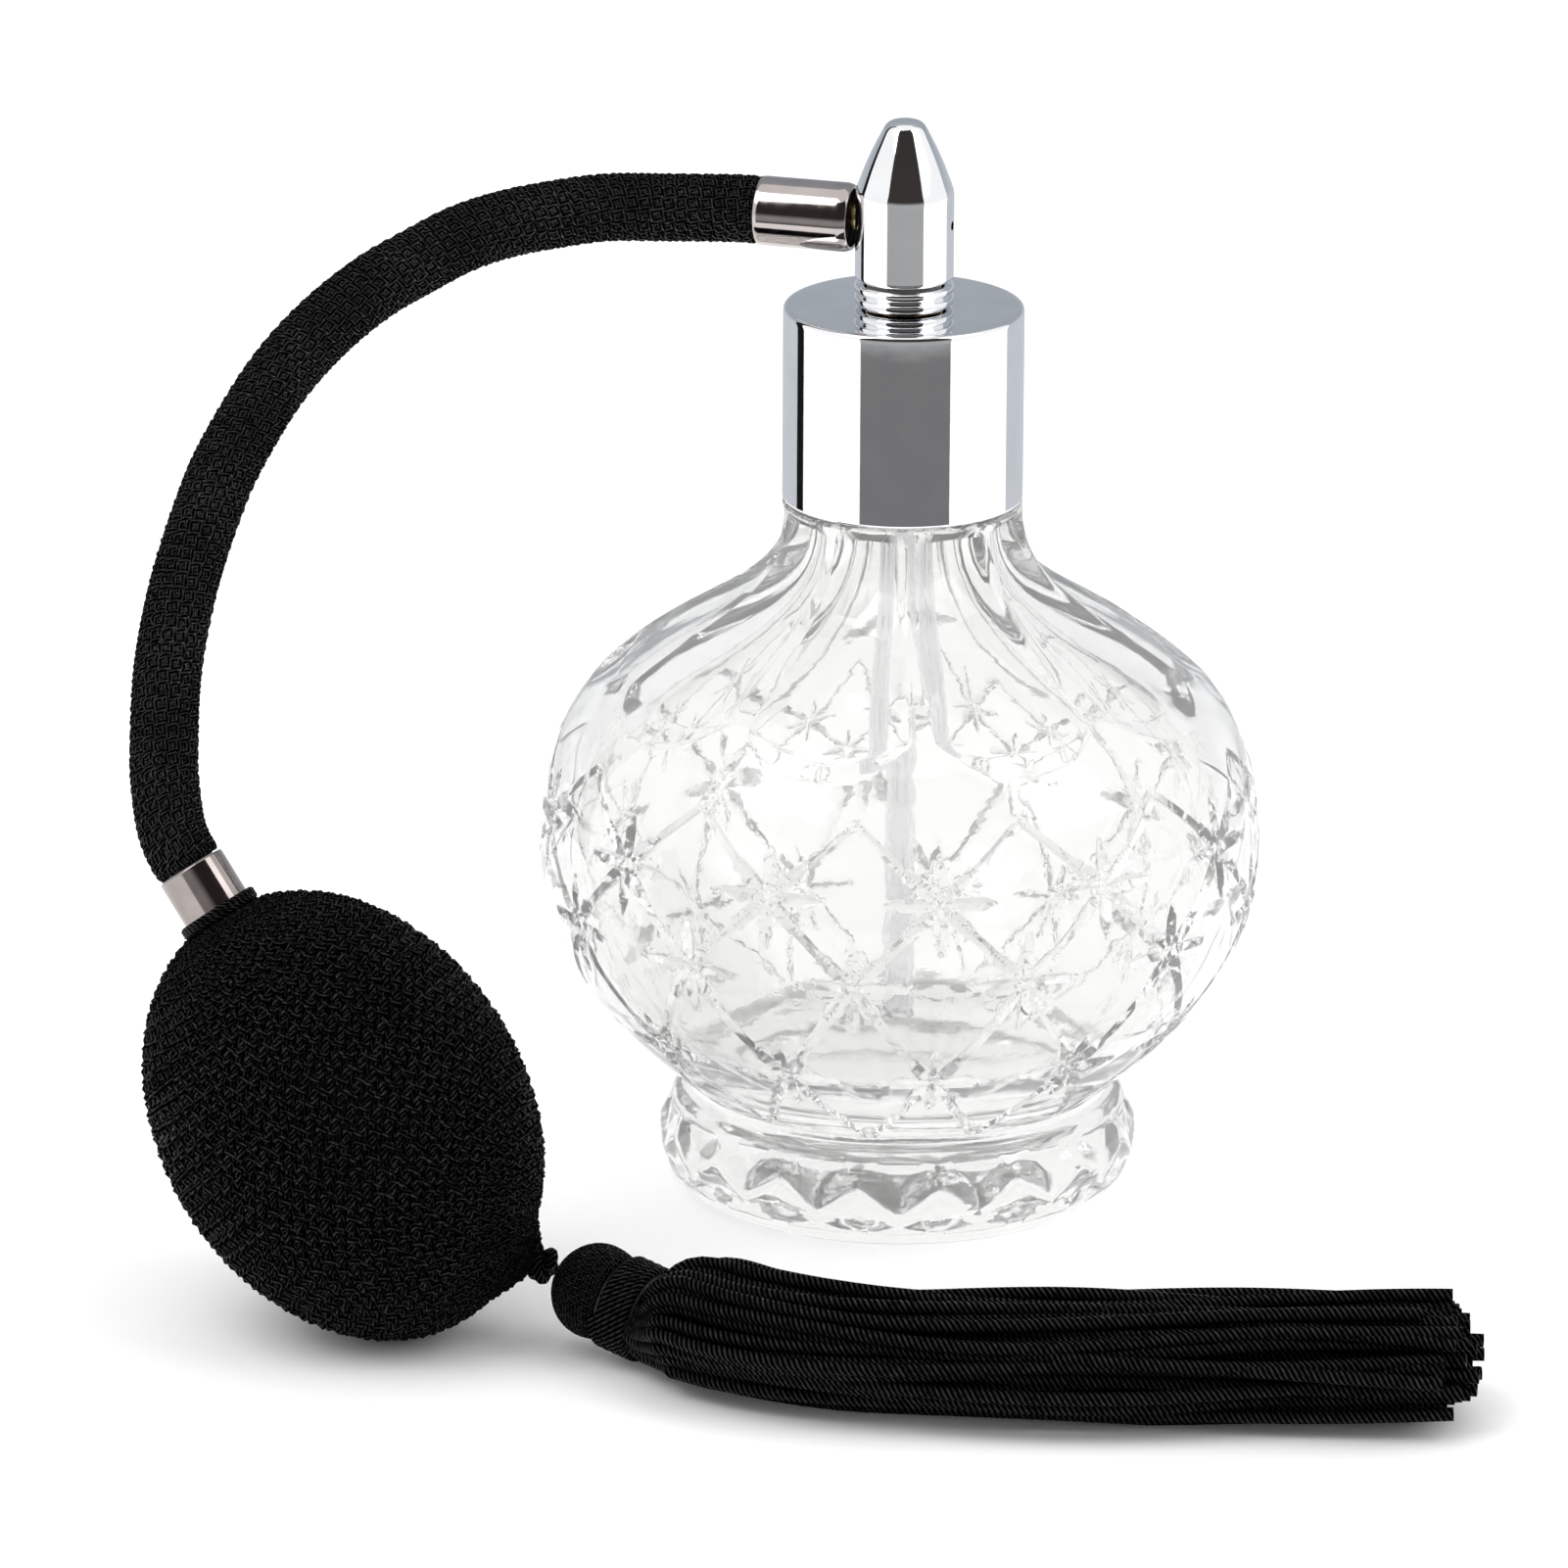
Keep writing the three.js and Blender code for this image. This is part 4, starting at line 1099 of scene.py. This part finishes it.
def headThreads(sizes):
    pattern = Pattern("tasselHeadThreads", {
        "Threads": sizes["headThreads"],
        "Radius": sizes["headRadius"] * mm,
        "Yarn Radius": sizes["headYarn"] * mm,
        "Start": sizes["headStart"] * mm,
        "End": sizes["headEnd"] * mm,
        "Centre": knotCentre * mm,
        "Along": tasselAlong,
        "Side": sideways(tasselAlong)[0],
        "Other Side": sideways(tasselAlong)[1],
        "Finish": finishes["thread"],
    })
    size, calc = pattern.size, pattern.calc
    line = pattern.node("GeometryNodeCurvePrimitiveLine")
    fine = pattern.node("GeometryNodeResampleCurve", {"Curve": line.outputs[0], "Count": 30})
    feeds = {"Geometry": fine.outputs[0], "Amount": size("Threads")}
    copies = pattern.node("GeometryNodeDuplicateElements", feeds, domain="SPLINE")
    t = pattern.node("GeometryNodeSplineParameter").outputs["Factor"]
    number = copies.outputs["Duplicate Index"]
    hand = calc("SUBTRACT", 1, calc("MULTIPLY", 2, calc("MODULO", number, 2)))
    turn = calc("ADD", calc("MULTIPLY", calc("DIVIDE", number, size("Threads")), 2 * math.pi),
                calc("MULTIPLY", calc("MULTIPLY", t, hand), 1.3))
    bow = calc("SINE", calc("MULTIPLY", calc("POWER", t, 0.62), 2.05))
    radius = calc("SUBTRACT", size("Radius"), size("Yarn Radius"))
    radius = calc("MULTIPLY", radius, calc("MAXIMUM", bow, 0.2))
    height = calc("ADD", size("Start"), calc("MULTIPLY", t, calc("SUBTRACT", size("End"), size("Start"))))
    place = pattern.vector("ADD", size("Centre"), pattern.scaled(size("Along"), height))
    across = calc("MULTIPLY", radius, calc("COSINE", turn))
    aside = calc("MULTIPLY", radius, calc("SINE", turn))
    place = pattern.vector("ADD", place, pattern.scaled(size("Side"), across))
    place = pattern.vector("ADD", place, pattern.scaled(size("Other Side"), aside))
    moved = pattern.node("GeometryNodeSetPosition", {"Geometry": copies.outputs[0], "Position": place})
    yarn = pattern.yarn(moved.outputs[0], size("Yarn Radius"), 6, 0.0005)
    return pattern.make("tasselHeadThreads", yarn, size("Finish"))


def headBead(sizes):
    start, end, radius = sizes["headStart"], sizes["headEnd"], sizes["headRadius"] - 0.55
    outline = [(0, start + 0.2)]
    for i in range(1, 25):
        t = i / 24
        outline.append((radius * math.sin(max(0.08, 2.05 * t ** 0.62)) - 0.1, start + (end - start) * t))
    outline.append((0, end))
    return outline


bindingPoints = coilPoints(
    bulbCentre, bulbUp, windingSizes["bindingRadius"],
    windingSizes["bindingAt"] - windingSizes["bindingPitch"],
    windingSizes["bindingAt"] + windingSizes["bindingPitch"], windingSizes["bindingTurns"], 110)
bindingMesh = windYarn("netBinding", bindingPoints, windingSizes["bindingYarn"])
binding = keepPiece("netBinding", bindingMesh, finishes["thread"], "head")
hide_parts("net_binding")

knotAxis = (tasselAlong + knotWay).normalized()
knotTurns = knotPoints(knotCentre, knotAxis, windingSizes)
knotMesh = windYarn("tasselKnot", knotTurns, windingSizes["knotYarn"], 8)
knot = keepPiece("tasselKnot", knotMesh, finishes["thread"], "tassel_knot")
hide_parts("tassel_knot")

beadMesh = turned("tasselBead", headBead(windingSizes), 48, knotCentre * mm, tasselAlong)
tasselHead = joined("tasselHead", [headThreads(windingSizes), beadMesh], finishes["thread"], "tassel")
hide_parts("tassel_head")

bandStart, bandEnd, bandRadius = (windingSizes[key] for key in ("bandStart", "bandEnd", "bandRadius"))
bandTurns = coilPoints(knotCentre, tasselAlong, bandRadius, bandStart, bandEnd,
                       windingSizes["bandTurns"], 240)
bandCoil = windYarn("tasselBandCoil", bandTurns, windingSizes["bandYarn"], 8, 0.6)
bandCorners = rounded([(0, bandStart - 0.2, 0), (bandRadius - 0.1, bandStart - 0.2, 0.3),
                       (bandRadius - 0.1, bandEnd + 0.2, 0.3), (0, bandEnd + 0.2, 0)])
bandCore = turned("tasselBandCore", bandCorners, 48, knotCentre * mm, tasselAlong)
band = joined("tasselBand", [bandCoil, bandCore], finishes["thread"], "tassel")
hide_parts("tassel_band")
print("windings made")


# ---- tassel skirt -----------------------------------------------------------------------

skirtSizes = {
    "route": [(17, -11.3), (22, -15), (28.6, -18.2), (36.6, -20.4), (46.6, -21.4), (59.6, -21.4),
              (73.6, -21.1), (86.6, -21.4), (98.7, -21.8)],     # from the knot, in plan
    "level": 6.6,
    "start": 14.0,
    "cords": 80,
    "points": 90,
    "cordRadius": 0.75,
    "halfWide": 9.2,
    "halfHigh": 5.9,
    "throat": 0.46,          # share of the width at the band
    "openBy": 0.065,         # share of the length in which it opens
    "drift": 1.1,
    "ragged": 0.035,
    "domed": 0.045,
    "twist": 0.62,
    "seed": 7,
}


def skirtCords(sizes):
    root = knotCentre + tasselAlong * sizes["start"]
    route = [root, knotCentre + tasselAlong * (sizes["start"] + 2.2)]
    route += [Vector((knotCentre.x + x, knotCentre.y + y, sizes["level"])) for x, y in sizes["route"]]
    pattern = Pattern("tasselSkirt", {
        "Cords": sizes["cords"],
        "Points": sizes["points"],
        "Cord Radius": sizes["cordRadius"] * mm,
        "Half Wide": sizes["halfWide"] * mm,
        "Half High": sizes["halfHigh"] * mm,
        "Throat": sizes["throat"],
        "Drift": sizes["drift"] * mm,
        "Ragged": sizes["ragged"],
        "Twist": sizes["twist"] * mm,
        "Seed": sizes["seed"],
        "Finish": finishes["thread"],
    })
    size, calc = pattern.size, pattern.calc
    line = pattern.node("GeometryNodeCurvePrimitiveLine")
    fine = pattern.node("GeometryNodeResampleCurve", {"Curve": line.outputs[0], "Count": size("Points")})
    feeds = {"Geometry": fine.outputs[0], "Amount": size("Cords")}
    copies = pattern.node("GeometryNodeDuplicateElements", feeds, domain="SPLINE")
    number = copies.outputs["Duplicate Index"]

    def chance(low, high, shift):
        feeds = {2: low, 3: high, "ID": number, "Seed": calc("ADD", size("Seed"), shift)}
        return pattern.node("FunctionNodeRandomValue", feeds, data_type="FLOAT").outputs[1]

    t = pattern.node("GeometryNodeSplineParameter").outputs["Factor"]
    out = calc("SQRT", calc("DIVIDE", calc("ADD", number, 0.6), size("Cords")))
    cut = calc("SUBTRACT", 1, calc("MULTIPLY", size("Ragged"), chance(0.0, 1.0, 1)))
    cut = calc("SUBTRACT", cut, calc("MULTIPLY", calc("POWER", out, 2), sizes["domed"]))
    t = calc("MULTIPLY", t, cut)
    sample = pattern.node("GeometryNodeSampleCurve", {"Curves": pattern.start.outputs[0], "Factor": t})
    up = Vector((0, 0, 1))
    tangent = sample.outputs["Tangent"]
    side = pattern.vector("NORMALIZE", pattern.vector("CROSS_PRODUCT", tangent, up))
    above = pattern.vector("CROSS_PRODUCT", side, tangent)
    turn = calc("MULTIPLY", number, 2.39996)
    opening = calc("SMOOTH_MIN", calc("DIVIDE", t, sizes["openBy"]), 1, 0.35)
    spread = calc("ADD", size("Throat"), calc("MULTIPLY", opening, calc("SUBTRACT", 1, size("Throat"))))
    wander = calc("SINE", calc("ADD", calc("MULTIPLY", t, chance(5.0, 11.0, 2)), chance(0.0, 6.28, 3)))
    sway = calc("SINE", calc("ADD", calc("MULTIPLY", t, chance(5.0, 11.0, 4)), chance(0.0, 6.28, 5)))
    ease = calc("MULTIPLY", size("Drift"), opening)
    ease = calc("MULTIPLY", ease, calc("MINIMUM", calc("MULTIPLY", t, 3), 1))
    wide = calc("MULTIPLY", calc("MULTIPLY", out, calc("COSINE", turn)), size("Half Wide"))
    wide = calc("ADD", calc("MULTIPLY", wide, spread), calc("MULTIPLY", wander, ease))
    high = calc("MULTIPLY", calc("MULTIPLY", out, calc("SINE", turn)), size("Half High"))
    high = calc("MULTIPLY", high, spread)
    high = calc("ADD", high, calc("MULTIPLY", calc("MULTIPLY", sway, ease), 0.45))
    place = pattern.vector("ADD", sample.outputs["Position"], pattern.scaled(side, wide))
    place = pattern.vector("ADD", place, pattern.scaled(above, high))
    parts = pattern.node("ShaderNodeSeparateXYZ", {0: place})
    low = calc("ADD", size("Cord Radius"), 0.00012)
    floor = calc("MAXIMUM", parts.outputs["Z"], low)
    place = pattern.node("ShaderNodeCombineXYZ", {"X": parts.outputs["X"], "Y": parts.outputs["Y"],
                                                  "Z": floor}).outputs[0]
    moved = pattern.node("GeometryNodeSetPosition", {"Geometry": copies.outputs[0], "Position": place})
    yarn = pattern.yarn(moved.outputs[0], size("Cord Radius"), 8, size("Twist"))
    return pattern.make("tasselSkirt", yarn, size("Finish"), curveFrom("skirtLine", smoothLine(route)))


skirt = keepPiece("tasselSkirt", skirtCords(skirtSizes), finishes["thread"], "tassel")
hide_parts("tassel_skirt")
print("tassel hung", len(skirt.data.polygons), "faces")


# ---- hidden parts keep their shape and get a finish -------------------------------------

hiddenParts = {
    "head_core": "whitePlastic",
    "air_jet": "brass",
    "hose_spigot": "brass",
    "hose_tubing": "rubber",
    "bulb_spigot": "brass",
    "outlet_valve": "brass",
    "intake_valve": "brass",
    "outlet_ball": "steel",
    "intake_ball": "steel",
    "tassel_core": "whitePlastic",
}
for node, finish in hiddenParts.items():
    part = frame["nodes"][node]
    for slot in part.material_slots:
        slot.material = finishes[finish]


# ---- studio -----------------------------------------------------------------------------

studio = {
    "sky": (1.0, 1.0, 1.0),
    "skyStrength": 1.05,
    "floor": (0.96, 0.96, 0.96),
    "floorSize": 8.0,
    "wallRadius": 0.235,
    "wallHeight": 0.55,
    "frontDark": (-41, 44),      # degrees round from the camera, what the chrome shows as its dark band
    "lineDark": (-120, -108.5),
    "backGrey": (114, 240),
}


def stagePiece(name, mesh, material):
    piece = bpy.data.objects.new(name, mesh)
    bpy.context.scene.collection.objects.link(piece)
    mesh.materials.append(material)
    return piece


def floorFinish(colour):
    finish = Finish("paleFloor", roughness=0.6, specular=0.1)
    low = tuple(value * 0.985 for value in colour)
    finish.link(finish.blend(finish.noise(3, 2.0), low, colour), "Base Color")
    return finish.material


# a card that only mirrors see: its tone changes with height
def cardFinish(name, tones):
    material = bpy.data.materials.new(name)
    material.use_nodes = True
    nodes, links = material.node_tree.nodes, material.node_tree.links
    nodes.clear()
    place = nodes.new("ShaderNodeTexCoord")
    parts = nodes.new("ShaderNodeSeparateXYZ")
    scale = nodes.new("ShaderNodeMapRange")
    ramp = nodes.new("ShaderNodeValToRGB")
    glow = nodes.new("ShaderNodeEmission")
    end = nodes.new("ShaderNodeOutputMaterial")
    scale.inputs["From Max"].default_value = studio["wallHeight"]
    links.new(place.outputs["Object"], parts.inputs[0])
    links.new(parts.outputs["Z"], scale.inputs["Value"])
    links.new(scale.outputs[0], ramp.inputs["Fac"])
    links.new(ramp.outputs["Color"], glow.inputs["Color"])
    links.new(glow.outputs[0], end.inputs["Surface"])
    steps = ramp.color_ramp.elements
    for at, colour in tones[2:]:
        steps.new(at)
    for step, (at, colour) in zip(steps, tones):
        step.position = at
        step.color = (*colour, 1)
    return material


def reflectionCard(name, span, tones):
    low, high = (math.radians(value - 90) for value in span)
    count = max(2, int((span[1] - span[0]) / 4))
    points, faces = [], []
    for i in range(count + 1):
        angle = low + (high - low) * i / count
        x, y = math.cos(angle) * studio["wallRadius"], math.sin(angle) * studio["wallRadius"]
        points += [(x, y, 0.0), (x, y, studio["wallHeight"])]
    for i in range(count):
        faces.append((2 * i, 2 * i + 2, 2 * i + 3, 2 * i + 1))
    card = stagePiece(name, meshFrom(name, points, faces), cardFinish(name, tones))
    card.visible_camera = False
    card.visible_diffuse = False
    card.visible_transmission = False
    card.visible_shadow = False
    card.visible_volume_scatter = False
    return card


def softLight(name, place, aim, size, power):
    data = bpy.data.lights.new(name, "AREA")
    data.shape = "RECTANGLE"
    data.size, data.size_y = size
    data.energy = power
    light = bpy.data.objects.new(name, data)
    bpy.context.scene.collection.objects.link(light)
    light.matrix_world = (Matrix.Translation(place)
                          @ (Vector(place) - Vector(aim)).to_track_quat("Z", "Y").to_matrix().to_4x4())
    return light


world = bpy.data.worlds.new("studio")
bpy.context.scene.world = world
world.use_nodes = True
sky = world.node_tree.nodes["Background"]
sky.inputs["Color"].default_value = (*studio["sky"], 1)
sky.inputs["Strength"].default_value = studio["skyStrength"]
half = studio["floorSize"] / 2
floorCorners = [(-half, -half, 0), (half, -half, 0), (half, half, 0), (-half, half, 0)]
stagePiece("floor", meshFrom("floor", floorCorners, [(0, 1, 2, 3)]), floorFinish(studio["floor"]))
greyTones = [(0.0, (0.60, 0.62, 0.66)), (0.15, (0.58, 0.61, 0.65)), (0.32, (0.36, 0.39, 0.43)),
             (1.0, (0.5, 0.52, 0.55))]
darkTones = [(0.0, (0.19, 0.19, 0.195)), (0.0605, (0.19, 0.19, 0.19)), (0.0625, (0.40, 0.40, 0.40)),
             (0.16, (0.42, 0.42, 0.42)), (0.24, (0.045, 0.038, 0.036)), (1.0, (0.03, 0.03, 0.03))]
reflectionCard("frontCard", studio["frontDark"], darkTones)
blackTones = [(0.0, (0.01, 0.01, 0.01)), (1.0, (0.01, 0.01, 0.01))]
reflectionCard("lineCard", studio["lineDark"], blackTones)
reflectionCard("backCard", studio["backGrey"], greyTones)
softLight("keyLight", (-0.7, -0.5, 1.2), (0, 0, 0.05), (0.9, 0.9), 7)
softLight("fillLight", (0.9, -0.4, 0.9), (0, 0, 0.05), (0.7, 0.9), 3)
print("studio set")
